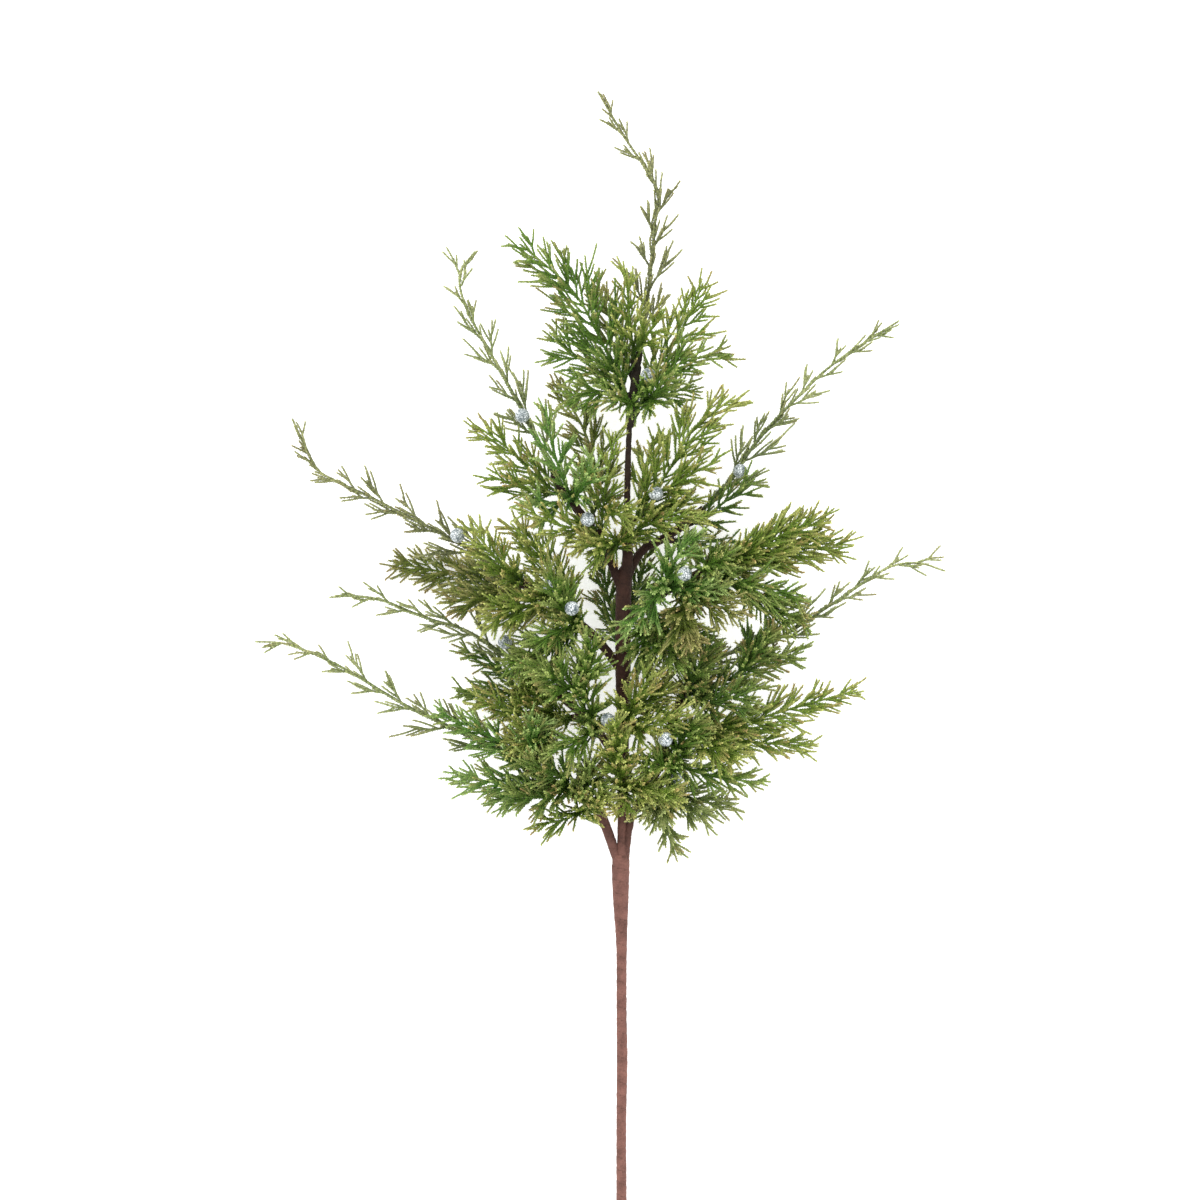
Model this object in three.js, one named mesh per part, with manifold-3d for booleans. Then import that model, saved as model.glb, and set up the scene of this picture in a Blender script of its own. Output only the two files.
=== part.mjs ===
// Artificial juniper spray with berries, lying on its back.
// X runs across, Y runs along the stem towards the top, Z is up from the surface it lies on; millimetres.
import * as THREE from "three";
import { mergeVertices } from "three/addons/utils/BufferGeometryUtils.js";
import Module from "manifold-3d";

const wasm = await Module();
wasm.setup();

// Clear space between pieces that fit into each other.
const FIT_GAP = 0.3;
// Clear space kept between twigs of different sprays.
const TWIG_GAP = 0.4;
// Lowest line of a twig, for sprays that hang free and for the sprays that lie on the surface.
const FREE_HEIGHT = 2.4;
const REST_HEIGHT = 0.45;

// Paper tape on the stem and its branches.
const STEM_SIDES = 8;
const BRANCH_SIDES = 6;
const SOCKET_SIDES = 4;
const SOCKET_LENGTH = 9;
const SOCKET_ROOT_RADIUS = 2;
const SOCKET_RADIUS = 2.8;
const SOCKET_FLARE = 1.12;
const STALK_START = 3.2;

// Steel wire in the lower stem.
const WIRE_RADIUS = 1.3;
const WIRE_STICKS_OUT = 0.8;
const WIRE_STATIONS = 5;

// Moulded stalks and twigs, and the steps by which a twig is shortened to find room.
const STALK_ROOT_RADIUS = 0.95;
const STALK_STEP = 18;
const SHOOT_ROOT_RADIUS = 0.55;
const SHOOT_RADIUS = 0.95;
const TWIGLET_ROOT_RADIUS = 0.36;
const TWIGLET_RADIUS = 0.85;
const TWIG_SIDES = 3;
const SHORTEST_TWIG = 5;
const SHORTEST_SHOOT = 7;
const TRIM_STEPS = [1, 0.8, 0.6, 0.45];

// Berries, all but round.
const BERRY_RADIUS = 4.75;
const PEG_RADIUS = 0.8;
const PEG_DEPTH = 2.2;

// Spacing, angle and length rules of the long leaders, the flat fans and the bushy tufts that fork off a fan.
const KINDS = {
  fan: {
    pitch: 6.4, start: 10, bareTip: 3, wide: 38, narrow: 22, tilt: 24, keep: 3,
    twigletPitch: 5.5, twigletAngle: 14, twigletEvery: 8, stalk: 1.2, stalkTip: 1,
  },
  tuft: {
    pitch: 6.4, start: 6, bareTip: 3, wide: 46, narrow: 26, tilt: 45, keep: 3,
    twigletPitch: 5.5, twigletAngle: 14, twigletEvery: 8, stalk: 1.2, stalkTip: 1,
  },
  leader: {
    pitch: 12, start: 17, bareTip: 10, wide: 27, narrow: 18, tilt: 30, keep: 1,
    twigletPitch: 6.5, twigletAngle: 11, twigletEvery: 4, stalk: 1.75, stalkTip: 0.9,
  },
};
// Shape of a fan, widest a third of the way up, and how far a leader's shoots shorten towards its tip.
const FAN_WIDEST = 0.35;
const FAN_BASE_WIDTH = 0.8;
const FAN_TIP_LOSS = 0.62;
const FAN_TIP_CURVE = 1.3;
const LEADER_TIP_LOSS = 0.68;
// Unevenness of spacing and length, spread of the angles, and the place and length of twiglets.
const SPACING_SPREAD = 0.4;
const LENGTH_SPREAD = 0.5;
const TWIGLET_FROM = 0.25;
const TWIGLET_TO = 0.9;
const ANGLE_SPREAD = 14;
const TWIGLET_ANGLE_SPREAD = 16;
const TWIGLET_LIFT = 35;
const TWIGLET_LENGTH = 7;
const TWIGLET_SHARE = 0.55;
// Seeds of the repeatable draws, and their steps from spray to spray, line to line and shoot to shoot.
const FIRST_SEED = 70001;
const SPRAY_STEP = 9973;
const LINE_STEP = 4001;
const SHOOT_STEP = 613;

// Colour and gloss of the moulded plastic, the tape, the wire and the frosted berries.
const TONES = {
  leader: "#8ca064",
  green: "#4b7326",
  dark: "#35542a",
  olive: "#7d8a3a",
  brown: "#8f7440",
  blue: "#4a7848",
};
const TAPE_COLOUR = "#8a5f55";
const WIRE_COLOUR = "#8f9295";
const BERRY_COLOUR = "#97a5ad";

// Main stem from the cut end to the top: X, Y, Z and radius.
const MAIN = [
  [15.3, -368, 3.2, 3.45],
  [15.1, -310, 8, 3.3],
  [15.6, -268, 12.2, 3.6],
  [15.2, -230, 17, 3.4],
  [15.2, -190, 22, 3.6],
  [14.6, -158, 26, 5.2],
  [14.6, -133, 29, 5.75],
  [15.3, -120, 30.5, 3.1],
  [16, -60, 37, 3.8],
  [16, -8, 42, 5],
  [16.2, 40, 46, 5.1],
  [17.2, 55, 47.3, 5],
  [18.8, 62, 48, 3.7],
  [18.8, 78, 49.4, 3.5],
  [18.6, 86, 50.1, 2.2],
  [18.8, 116, 52.7, 2.1],
  [19.9, 148, 55.4, 1.9],
  [20.3, 153, 55.8, 3],
  [25, 190, 59, 2.9],
];

// Side branches, from inside the main stem to their ends: X, Y, Z and radius.
const BRANCHES = {
  upper_left: [[15, 44, 46.5, 2.8], [5, 70, 52, 2.8], [-10, 92, 57, 2.9], [-25, 112, 60, 2.9]],
  upper_right: [[17.5, 50, 47, 2.6], [28, 70, 43, 2.8], [45, 80, 40, 2.9], [62, 92, 39, 2.9]],
  mid_right: [[17, 22, 44.5, 3], [35, 38, 52, 3], [52, 49, 57, 2.9], [66, 56, 59, 2.9]],
  mid_left: [[15, -8, 42, 3], [-3, 15, 47, 3], [-28, 34, 51, 2.9], [-52, 51, 53, 2.9]],
  centre_left: [[14.5, -70, 36, 2.8], [0, -48, 33, 2.9], [-16, -32, 31, 2.9], [-32, -19, 30, 2.9]],
  low_right: [[17.6, -134, 29, 2.3], [19.9, -113, 31.6, 2.3], [24.5, -97, 34, 2.4], [37, -76, 38, 2.9],
    [46, -48, 41, 2.9], [56, -20, 42, 2.9]],
  low_left: [[13.5, -135, 29, 3.2], [0, -100, 34, 3.3], [-18, -88, 37, 3], [-42, -74, 39, 2.9]],
};

// Sprays: where each is held, its tone, and its lines from base to tip with the half width of its fan.
// The first line stands in a taped socket; each further line forks off the first one.
const SPRAYS = [
  { name: "leader_top", on: "main", tone: "leader", lines: [
    { kind: "leader", spread: 25, path: [[25, 190, 59], [29, 216, 61], [33, 247, 61], [36, 280, 60],
      [38, 305, 59], [28, 321, 58], [15, 341, 57], [0, 367, 57]] }] },
  { name: "fan_top_left", on: "main", tone: "green", lines: [
    { kind: "fan", spread: 27, path: [[21.5, 164, 56.5], [5, 198, 68], [-16, 236, 76], [-50, 266, 80]] },
    { kind: "fan", spread: 19, path: [[15, 178, 60], [0, 186, 58], [-14, 196, 55], [-32, 212, 52]] },
    { kind: "tuft", spread: 16, path: [[16, 176, 60], [4, 172, 70], [-8, 170, 76], [-22, 170, 78]] }] },
  { name: "fan_top_back", on: "main", tone: "brown", lines: [
    { kind: "fan", spread: 18, path: [[23.5, 180, 58], [14, 204, 48], [6, 226, 42], [-2, 248, 38]] }] },
  { name: "fan_top_front", on: "main", tone: "olive", lines: [
    { kind: "fan", spread: 15, path: [[24.2, 186, 58.6], [21, 208, 72], [19, 228, 80], [18, 250, 84]] },
    { kind: "fan", spread: 13, path: [[22, 198, 66], [28, 204, 80], [34, 212, 92], [40, 222, 100]] }] },
  { name: "fan_top_right", on: "main", tone: "olive", lines: [
    { kind: "fan", spread: 21, path: [[22.6, 172, 57.4], [42, 196, 52], [57, 220, 46], [68, 245, 42]] }] },
  { name: "fan_top_side", on: "main", tone: "green", lines: [
    { kind: "fan", spread: 17, path: [[20.2, 154, 55.8], [38, 180, 66], [58, 193, 72], [84, 196, 76]] },
    { kind: "fan", spread: 14, path: [[30, 168, 61], [40, 170, 56], [50, 174, 52], [62, 179, 48]] },
    { kind: "tuft", spread: 15, path: [[26, 163, 59], [24, 164, 72], [16, 166, 84], [4, 170, 92]] },
    { kind: "tuft", spread: 15, path: [[30, 168, 61], [34, 168, 76], [38, 172, 86], [42, 182, 92]] }] },
  { name: "leader_upper_left", on: "upper_left", tone: "leader", lines: [
    { kind: "leader", spread: 24, path: [[-25, 112, 60], [-44, 150, 62], [-59, 178, 62], [-77, 210, 61],
      [-87, 230, 60], [-90, 250, 59], [-80, 264, 58]] }] },
  { name: "fan_upper_left_outer", on: "upper_left", tone: "olive", lines: [
    { kind: "fan", spread: 19, path: [[-18, 103, 58.5], [-38, 116, 52], [-58, 136, 46], [-80, 152, 42]] },
    { kind: "fan", spread: 15, path: [[-26, 107, 56], [-40, 108, 62], [-54, 112, 66], [-71, 119, 68]] }] },
  { name: "fan_upper_left_front", on: "upper_left", tone: "blue", lines: [
    { kind: "fan", spread: 14, path: [[-12, 95, 57.5], [-22, 114, 76], [-30, 138, 86], [-34, 163, 90]] },
    { kind: "fan", spread: 14, path: [[-16, 104, 66], [-12, 108, 84], [-8, 116, 96], [-4, 128, 104]] },
    { kind: "tuft", spread: 15, path: [[-17, 104, 67], [-26, 98, 70], [-36, 96, 74], [-48, 104, 76]] }] },
  { name: "fan_upper_left_back", on: "upper_left", tone: "brown", lines: [
    { kind: "fan", spread: 20, path: [[-5, 85, 55.5], [-1, 116, 40], [-9, 148, 34], [-28, 182, 30]] }] },
  { name: "fan_upper_left_rise", on: "upper_left", tone: "olive", lines: [
    { kind: "fan", spread: 14, path: [[1, 76, 53.5], [3, 100, 64], [6, 122, 70], [11, 146, 72]] },
    { kind: "fan", spread: 14, path: [[2, 86, 57], [-14, 84, 74], [-30, 88, 84], [-50, 97, 88]] },
    { kind: "tuft", spread: 13, path: [[3, 98, 63], [8, 94, 76], [14, 92, 84], [22, 94, 88]] }] },
  { name: "fan_upper_left_cross", on: "upper_left", tone: "olive", lines: [
    { kind: "fan", spread: 12, path: [[6, 68, 51.6], [22, 82, 66], [44, 91, 74], [70, 91, 78]] },
    { kind: "tuft", spread: 15, path: [[15, 76, 60], [4, 72, 68], [-4, 74, 76], [-14, 76, 80]] }] },
  { name: "leader_upper_right", on: "upper_right", tone: "leader", lines: [
    { kind: "leader", spread: 24, path: [[62, 92, 39], [85, 115, 42], [100, 138, 45], [120, 161, 49],
      [150, 190, 53], [172, 205, 55], [194, 219, 56]] }] },
  { name: "fan_upper_right_light", on: "main", tone: "olive", lines: [
    { kind: "fan", spread: 24, path: [[17.9, 84, 50], [34, 106, 58], [47, 124, 62], [58, 146, 64],
      [88, 170, 64]] },
    { kind: "fan", spread: 14, path: [[34, 106, 58], [48, 112, 68], [60, 120, 74], [78, 128, 78]] },
    { kind: "fan", spread: 13, path: [[27, 97, 55], [28, 114, 44], [32, 130, 37], [40, 148, 33]] },
    { kind: "tuft", spread: 15, path: [[24, 93, 53], [36, 92, 56], [48, 98, 58], [64, 106, 62]] }] },
  { name: "fan_upper_right_dark", on: "upper_right", tone: "dark", lines: [
    { kind: "fan", spread: 15, path: [[54, 86, 39.4], [68, 92, 50], [84, 104, 56], [101, 117, 60]] }] },
  { name: "fan_upper_right_low", on: "upper_right", tone: "dark", rests: true, lines: [
    { kind: "fan", spread: 16, path: [[42, 78, 40.3], [62, 76, 22], [86, 71, 4], [112, 67, 0.4]] }] },
  { name: "fan_mid_right_outer", on: "mid_right", tone: "olive", lines: [
    { kind: "fan", spread: 25, path: [[66, 56, 59], [94, 65, 62], [124, 71, 62], [158, 73, 60]] },
    { kind: "fan", spread: 17, path: [[82, 61.5, 61], [98, 72, 70], [122, 81, 74], [148, 91, 76]] }] },
  { name: "fan_mid_right_lower", on: "mid_right", tone: "green", lines: [
    { kind: "fan", spread: 18, path: [[58, 52, 58], [80, 51, 70], [103, 46, 74], [130, 39, 76]] },
    { kind: "tuft", spread: 15, path: [[71, 51.5, 66], [69, 59, 76], [73, 63, 84], [83, 65, 88]] },
    { kind: "tuft", spread: 14, path: [[89, 49, 72], [103, 39, 66], [117, 31, 64], [134, 25, 64]] }] },
  { name: "fan_mid_right_front", on: "mid_right", tone: "blue", lines: [
    { kind: "fan", spread: 16, path: [[42, 42, 54], [44, 54, 76], [50, 66, 88], [62, 80, 94]] },
    { kind: "fan", spread: 14, path: [[43, 50, 69], [36, 40, 84], [26, 28, 92], [14, 17, 96]] },
    { kind: "tuft", spread: 15, path: [[43, 48, 66], [54, 44, 74], [66, 44, 80], [80, 48, 84]] }] },
  { name: "fan_mid_right_brown", on: "mid_right", tone: "brown", lines: [
    { kind: "fan", spread: 15, path: [[49, 47, 56], [61, 40, 72], [75, 35, 80], [93, 28, 84]] },
    { kind: "tuft", spread: 16, path: [[57, 42.5, 68], [54, 33, 80], [55, 21, 86], [60, 9, 88]] }] },
  { name: "fan_mid_right_under", on: "mid_right", tone: "green", lines: [
    { kind: "fan", spread: 15, path: [[30, 34, 50], [46, 22, 42], [62, 13, 38], [80, 6, 36]] },
    { kind: "tuft", spread: 17, path: [[40, 26, 45], [42, 16, 58], [46, 6, 66], [52, -6, 72]] },
    { kind: "tuft", spread: 16, path: [[38, 28, 46], [30, 16, 56], [28, 4, 62], [30, -10, 64]] }] },
  { name: "leader_mid_left", on: "mid_left", tone: "leader", lines: [
    { kind: "leader", spread: 24, path: [[-52, 51, 53], [-74, 65, 56], [-98, 79, 57], [-135, 98, 57],
      [-158, 110, 56], [-181, 121, 54], [-193, 143, 53], [-199, 156, 52]] }] },
  { name: "fan_mid_left_tuft", on: "mid_left", tone: "olive", lines: [
    { kind: "fan", spread: 15, path: [[-44, 45, 52.4], [-58, 56, 68], [-70, 70, 76], [-82, 86, 80]] }] },
  { name: "fan_mid_left_thin", on: "mid_left", tone: "brown", rests: true, lines: [
    { kind: "fan", spread: 20, path: [[-36, 39.5, 51.6], [-66, 48, 26], [-100, 56, 5], [-136, 63, 0.4]] },
    { kind: "fan", spread: 15, path: [[-50, 43, 41], [-64, 40, 46], [-82, 38, 48], [-102, 39, 48]] }] },
  { name: "fan_mid_left_rise", on: "mid_left", tone: "olive", lines: [
    { kind: "fan", spread: 18, path: [[-16, 25, 49], [-24, 46, 62], [-36, 66, 68], [-56, 87, 72]] },
    { kind: "tuft", spread: 17, path: [[-22, 40, 58], [-40, 36, 66], [-56, 32, 70], [-72, 26, 72]] }] },
  { name: "fan_mid_left_front", on: "mid_left", tone: "green", lines: [
    { kind: "fan", spread: 16, path: [[-6, 17.5, 47.4], [-18, 26, 70], [-26, 42, 86], [-32, 60, 94]] },
    { kind: "fan", spread: 13, path: [[-14, 23, 62], [-22, 20, 78], [-30, 16, 86], [-42, 11, 90]] },
    { kind: "tuft", spread: 16, path: [[-12, 22, 60], [-26, 10, 62], [-42, 2, 64], [-58, -4, 66]] }] },
  { name: "leader_low_mid_left", on: "centre_left", tone: "leader", lines: [
    { kind: "leader", spread: 23, path: [[-32, -19, 30], [-65, 4, 33], [-86, 18, 36], [-115, 27, 39],
      [-138, 37, 40], [-160, 41, 40], [-175, 40, 40]] }] },
  { name: "fan_centre_left_dark", on: "centre_left", tone: "dark", lines: [
    { kind: "fan", spread: 14, path: [[-24, -25, 30.5], [-46, -24, 22], [-68, -22, 18], [-93, -23, 16]] },
    { kind: "fan", spread: 9, path: [[-46, -24, 22], [-58, -12, 26], [-72, -2, 28], [-91, 5, 28]] }] },
  { name: "fan_centre_left_olive", on: "centre_left", tone: "olive", lines: [
    { kind: "fan", spread: 17, path: [[-10, -38, 31.7], [-32, -40, 44], [-54, -34, 50], [-80, -26, 54]] },
    { kind: "tuft", spread: 15, path: [[-24, -40, 40], [-36, -28, 46], [-44, -16, 48], [-50, -2, 48]] },
    { kind: "tuft", spread: 16, path: [[-30, -40, 43], [-34, -50, 54], [-44, -54, 60], [-60, -54, 62]] }] },
  { name: "fan_centre_front", on: "centre_left", tone: "green", lines: [
    { kind: "fan", spread: 15, path: [[2, -51, 33.4], [-4, -40, 58], [-8, -22, 72], [-12, 2, 78]] },
    { kind: "fan", spread: 14, path: [[-2, -44, 50], [-8, -50, 68], [-18, -56, 76], [-32, -58, 80]] },
    { kind: "tuft", spread: 16, path: [[-7, -26, 70], [-18, -18, 80], [-30, -10, 86], [-44, -2, 88]] },
    { kind: "tuft", spread: 14, path: [[-9, -16, 73], [-6, -6, 84], [-4, 4, 90], [-6, 14, 92]] }] },
  { name: "fan_centre_olive", on: "main", tone: "olive", lines: [
    { kind: "fan", spread: 16, path: [[16, -44, 38.5], [18, -38, 60], [24, -24, 74], [36, -8, 80]] },
    { kind: "fan", spread: 14, path: [[17, -40, 52], [26, -44, 66], [38, -42, 74], [54, -34, 78]] },
    { kind: "tuft", spread: 15, path: [[20, -33, 65], [30, -28, 62], [40, -22, 60], [48, -14, 56]] }] },
  { name: "fan_centre_low", on: "main", tone: "olive", lines: [
    { kind: "fan", spread: 13, path: [[15.8, -86, 34.2], [15, -82, 54], [12, -72, 68], [4, -58, 78]] },
    { kind: "fan", spread: 9, path: [[15, -84, 46], [18, -88, 58], [18, -92, 66], [15, -100, 72]] },
    { kind: "tuft", spread: 16, path: [[15, -83, 50], [26, -82, 60], [38, -84, 66], [52, -88, 68]] },
    { kind: "tuft", spread: 14, path: [[13, -76, 62], [14, -64, 72], [12, -52, 80], [10, -40, 86]] }] },
  { name: "fan_centre_back", on: "main", tone: "dark", lines: [
    { kind: "fan", spread: 15, path: [[16, 4, 43], [10, 24, 24], [5, 46, 16], [2, 68, 13]] },
    { kind: "fan", spread: 14, path: [[11, 20, 28], [20, 34, 20], [28, 54, 16], [32, 78, 14]] }] },
  { name: "leader_low_mid_right", on: "low_right", tone: "leader", lines: [
    { kind: "leader", spread: 24, path: [[56, -20, 42], [76, 0, 44], [116, 13, 47], [138, 27, 48],
      [158, 40, 49], [185, 58, 49], [205, 63, 48], [225, 57.5, 47]] }] },
  { name: "fan_low_right_inner", on: "low_right", tone: "dark", lines: [
    { kind: "fan", spread: 15, path: [[52, -32, 41.6], [72, -20, 54], [98, -6, 60], [132, 5, 62]] },
    { kind: "fan", spread: 14, path: [[60, -27, 47], [74, -28, 64], [88, -24, 72], [107, -16, 76]] },
    { kind: "tuft", spread: 16, path: [[58, -28, 46], [60, -14, 60], [66, -2, 66], [74, 10, 68]] },
    { kind: "tuft", spread: 15, path: [[92, -9, 59], [98, 2, 66], [104, 10, 70], [114, 18, 72]] }] },
  { name: "fan_low_right_outer", on: "low_right", tone: "olive", lines: [
    { kind: "fan", spread: 17, path: [[47, -46, 41.2], [80, -45, 50], [118, -34, 55], [167, -20, 56]] },
    { kind: "fan", spread: 14, path: [[66, -46, 47], [88, -52, 44], [110, -55, 40], [139, -57, 36]] },
    { kind: "tuft", spread: 15, path: [[60, -46, 45], [68, -54, 58], [78, -60, 64], [90, -64, 66]] }] },
  { name: "fan_low_right_side", on: "low_right", tone: "green", lines: [
    { kind: "fan", spread: 13, path: [[41.5, -62, 39.5], [60, -72, 46], [82, -77, 48], [107, -81, 48]] },
    { kind: "tuft", spread: 16, path: [[50, -67, 43], [52, -56, 58], [58, -46, 66], [66, -36, 70]] },
    { kind: "tuft", spread: 15, path: [[52, -68, 44], [44, -70, 60], [36, -70, 68], [28, -66, 72]] }] },
  { name: "fan_low_right_hanging", on: "low_right", tone: "brown", lines: [
    { kind: "fan", spread: 14, path: [[30, -88, 35.4], [50, -89, 32], [68, -94, 28], [90, -96, 26]] },
    { kind: "fan", spread: 11, path: [[40, -88, 34], [41, -100, 42], [44, -112, 46], [52, -127, 48]] },
    { kind: "fan", spread: 10, path: [[50, -89, 32], [56, -95, 38], [63, -100, 40], [71, -106, 40]] },
    { kind: "tuft", spread: 15, path: [[46, -89, 33], [40, -94, 48], [34, -96, 58], [26, -98, 64]] }] },
  { name: "leader_low_left", on: "low_left", tone: "leader", lines: [
    { kind: "leader", spread: 24, path: [[-42, -74, 39], [-66, -60, 42], [-92, -47, 44], [-125, -31, 45],
      [-145, -19, 45], [-165, -7, 44], [-188, 4, 43], [-210, 11, 42], [-224, 11, 42]] }] },
  { name: "fan_low_left_outer", on: "low_left", tone: "blue", lines: [
    { kind: "fan", spread: 14, path: [[-26, -83.5, 37.8], [-48, -84, 46], [-70, -80, 50], [-95, -76, 52]] },
    { kind: "fan", spread: 12, path: [[-38, -84.5, 42.6], [-48, -91, 38], [-58, -93, 36],
      [-72, -93, 34]] }] },
  { name: "fan_low_left_lower", on: "low_left", tone: "olive", lines: [
    { kind: "fan", spread: 10, path: [[-6, -96, 35], [-18, -103, 42], [-28, -107, 44], [-41, -108, 46]] },
    { kind: "tuft", spread: 15, path: [[-14, -101, 40], [-6, -96, 52], [0, -90, 60], [4, -88, 70]] }] },
  { name: "fan_low_left_upper", on: "low_left", tone: "blue", lines: [
    { kind: "fan", spread: 15, path: [[-34, -78.8, 38.4], [-52, -62, 54], [-74, -48, 60], [-103, -35, 64]] },
    { kind: "tuft", spread: 16, path: [[-42, -71, 45], [-44, -60, 60], [-42, -50, 68], [-38, -40, 72]] }] },
  { name: "fan_low_left_inner", on: "low_left", tone: "dark", lines: [
    { kind: "fan", spread: 16, path: [[-13, -91.2, 36.2], [-20, -80, 58], [-32, -72, 72], [-50, -64, 80]] },
    { kind: "tuft", spread: 15, path: [[-16, -86, 46], [-8, -82, 60], [-2, -76, 68], [-6, -66, 74]] },
    { kind: "tuft", spread: 16, path: [[-18, -83, 52], [-30, -88, 60], [-42, -90, 64], [-56, -88, 66]] }] },
];

// Berries: centre in the spray that carries them.
const BERRIES = [
  { on: "fan_mid_right_front", at: [55, 55, 86] },
  { on: "fan_mid_left_front", at: [-17, 33, 88] },
  { on: "leader_upper_right", at: [92, 122, 53] },
  { on: "leader_low_mid_left", at: [-61, 11, 42] },
  { on: "fan_centre_front", at: [6, -39, 70] },
  { on: "fan_centre_olive", at: [43, -51, 78] },
  { on: "fan_top_side", at: [32, 183, 73] },
  { on: "fan_upper_left_rise", at: [-7, 90, 80] },
  { on: "leader_upper_left", at: [-49, 157, 72] },
  { on: "fan_upper_right_light", at: [37, 107, 68] },
  { on: "leader_mid_left", at: [-91, 80, 66] },
  { on: "fan_centre_left_olive", at: [-51, -13, 41] },
  { on: "fan_low_right_side", at: [50, -78, 51] },
  { on: "fan_mid_left_rise", at: [-31, 47, 72] },
];

// Turns a three.js geometry into a closed body.
function solid(geometry) {
  geometry.deleteAttribute("normal");
  geometry.deleteAttribute("uv");
  const merged = mergeVertices(geometry, 1e-5);
  const corners = merged.index.array;
  const kept = [];
  for (let i = 0; i < corners.length; i += 3) {
    const [a, b, c] = [corners[i], corners[i + 1], corners[i + 2]];
    if (a !== b && b !== c && c !== a) {
      kept.push(a, b, c);
    }
  }
  const vertProperties = new Float32Array(merged.attributes.position.array);
  return new wasm.Manifold(new wasm.Mesh({ numProp: 3, vertProperties, triVerts: new Uint32Array(kept) }));
}

// Turns a closed body into a named piece with its own material.
function piece(name, body, colour, roughness, metalness) {
  const mesh = body.getMesh();
  const geometry = new THREE.BufferGeometry();
  geometry.setAttribute("position", new THREE.BufferAttribute(new Float32Array(mesh.vertProperties), 3));
  geometry.setIndex(new THREE.BufferAttribute(new Uint32Array(mesh.triVerts), 1));
  geometry.computeVertexNormals();
  const material = new THREE.MeshStandardMaterial({ color: colour, roughness, metalness });
  const result = new THREE.Mesh(geometry, material);
  result.name = name;
  return result;
}

// Bends a cylinder along a line of points, with a radius at each point; its flat ends need no middle point.
function bar(sides, points, radii) {
  const spans = points.length - 1;
  const geometry = new THREE.CylinderGeometry(1, 1, 1, sides, spans);
  const tangents = points.map((point, i) => {
    const before = points[Math.max(i - 1, 0)];
    const after = points[Math.min(i + 1, spans)];
    return after.clone().sub(before).normalize();
  });
  let across = new THREE.Vector3(0, 0, 1);
  const frames = tangents.map((tangent) => {
    across = across.clone().addScaledVector(tangent, -across.dot(tangent));
    if (across.length() < 0.2) {
      across = new THREE.Vector3(1, 0, 0).addScaledVector(tangent, -tangent.x);
    }
    across.normalize();
    return [across, tangent.clone().cross(across)];
  });
  const place = geometry.attributes.position;
  for (let i = 0; i < place.count; i += 1) {
    const station = Math.round((0.5 - place.getY(i)) * spans);
    const [first, second] = frames[station];
    const capCentre = Math.hypot(place.getX(i), place.getZ(i)) < 0.5;
    const spot = points[station].clone();
    spot.addScaledVector(first, place.getX(i) * radii[station]);
    spot.addScaledVector(second, (capCentre ? 1 : place.getZ(i)) * radii[station]);
    place.setXYZ(i, spot.x, spot.y, spot.z);
  }
  return solid(geometry);
}

// Gives a repeatable run of shares between 0 and 1.
function draws(seed) {
  let state = seed;
  const next = () => {
    state = (state * 16807) % 2147483647;
    return state / 2147483647;
  };
  next();
  next();
  return next;
}

// Makes an even line of points along a smooth curve through the given points.
function smooth(path, step) {
  const curve = new THREE.CatmullRomCurve3(path, false, "catmullrom", 0.5);
  const dense = curve.getPoints(10 * (path.length - 1));
  const length = dense.reduce((sum, point, i) => sum + (i ? point.distanceTo(dense[i - 1]) : 0), 0);
  const count = Math.max(2, Math.round(length / step));
  return Array.from({ length: count + 1 }, (_, i) => spotOn(dense, (length * i) / count).at);
}

// Finds the point and direction at a distance along a line of points.
function spotOn(line, distance) {
  let left = distance;
  for (let i = 1; i < line.length; i += 1) {
    const span = line[i].distanceTo(line[i - 1]);
    if (left <= span || i === line.length - 1) {
      const along = line[i].clone().sub(line[i - 1]).normalize();
      return { at: line[i - 1].clone().addScaledVector(along, left), along };
    }
    left -= span;
  }
  return null;
}

// Finds the point of a line of points nearest to a given point.
function nearestOn(line, target) {
  let best = null;
  for (let i = 1; i < line.length; i += 1) {
    const span = new THREE.Line3(line[i - 1], line[i]);
    const spot = span.closestPointToPoint(target, true, new THREE.Vector3());
    if (!best || spot.distanceTo(target) < best.distanceTo(target)) {
      best = spot;
    }
  }
  return best;
}

function lengthOf(line) {
  return line.reduce((sum, point, i) => sum + (i ? point.distanceTo(line[i - 1]) : 0), 0);
}

function vector(numbers) {
  return new THREE.Vector3(numbers[0], numbers[1], numbers[2]);
}

// Share of the half width that a side shoot reaches, from the base of the line to its tip.
function outline(kind, share) {
  if (kind === "leader") {
    return 1 - LEADER_TIP_LOSS * share;
  }
  if (share < FAN_WIDEST) {
    return FAN_BASE_WIDTH + ((1 - FAN_BASE_WIDTH) * share) / FAN_WIDEST;
  }
  return 1 - FAN_TIP_LOSS * ((share - FAN_WIDEST) / (1 - FAN_WIDEST)) ** FAN_TIP_CURVE;
}

// Makes a length longer or shorter by an uneven share.
function uneven(size, draw) {
  return size * (1 + LENGTH_SPREAD * (draw() - 0.5));
}

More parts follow.
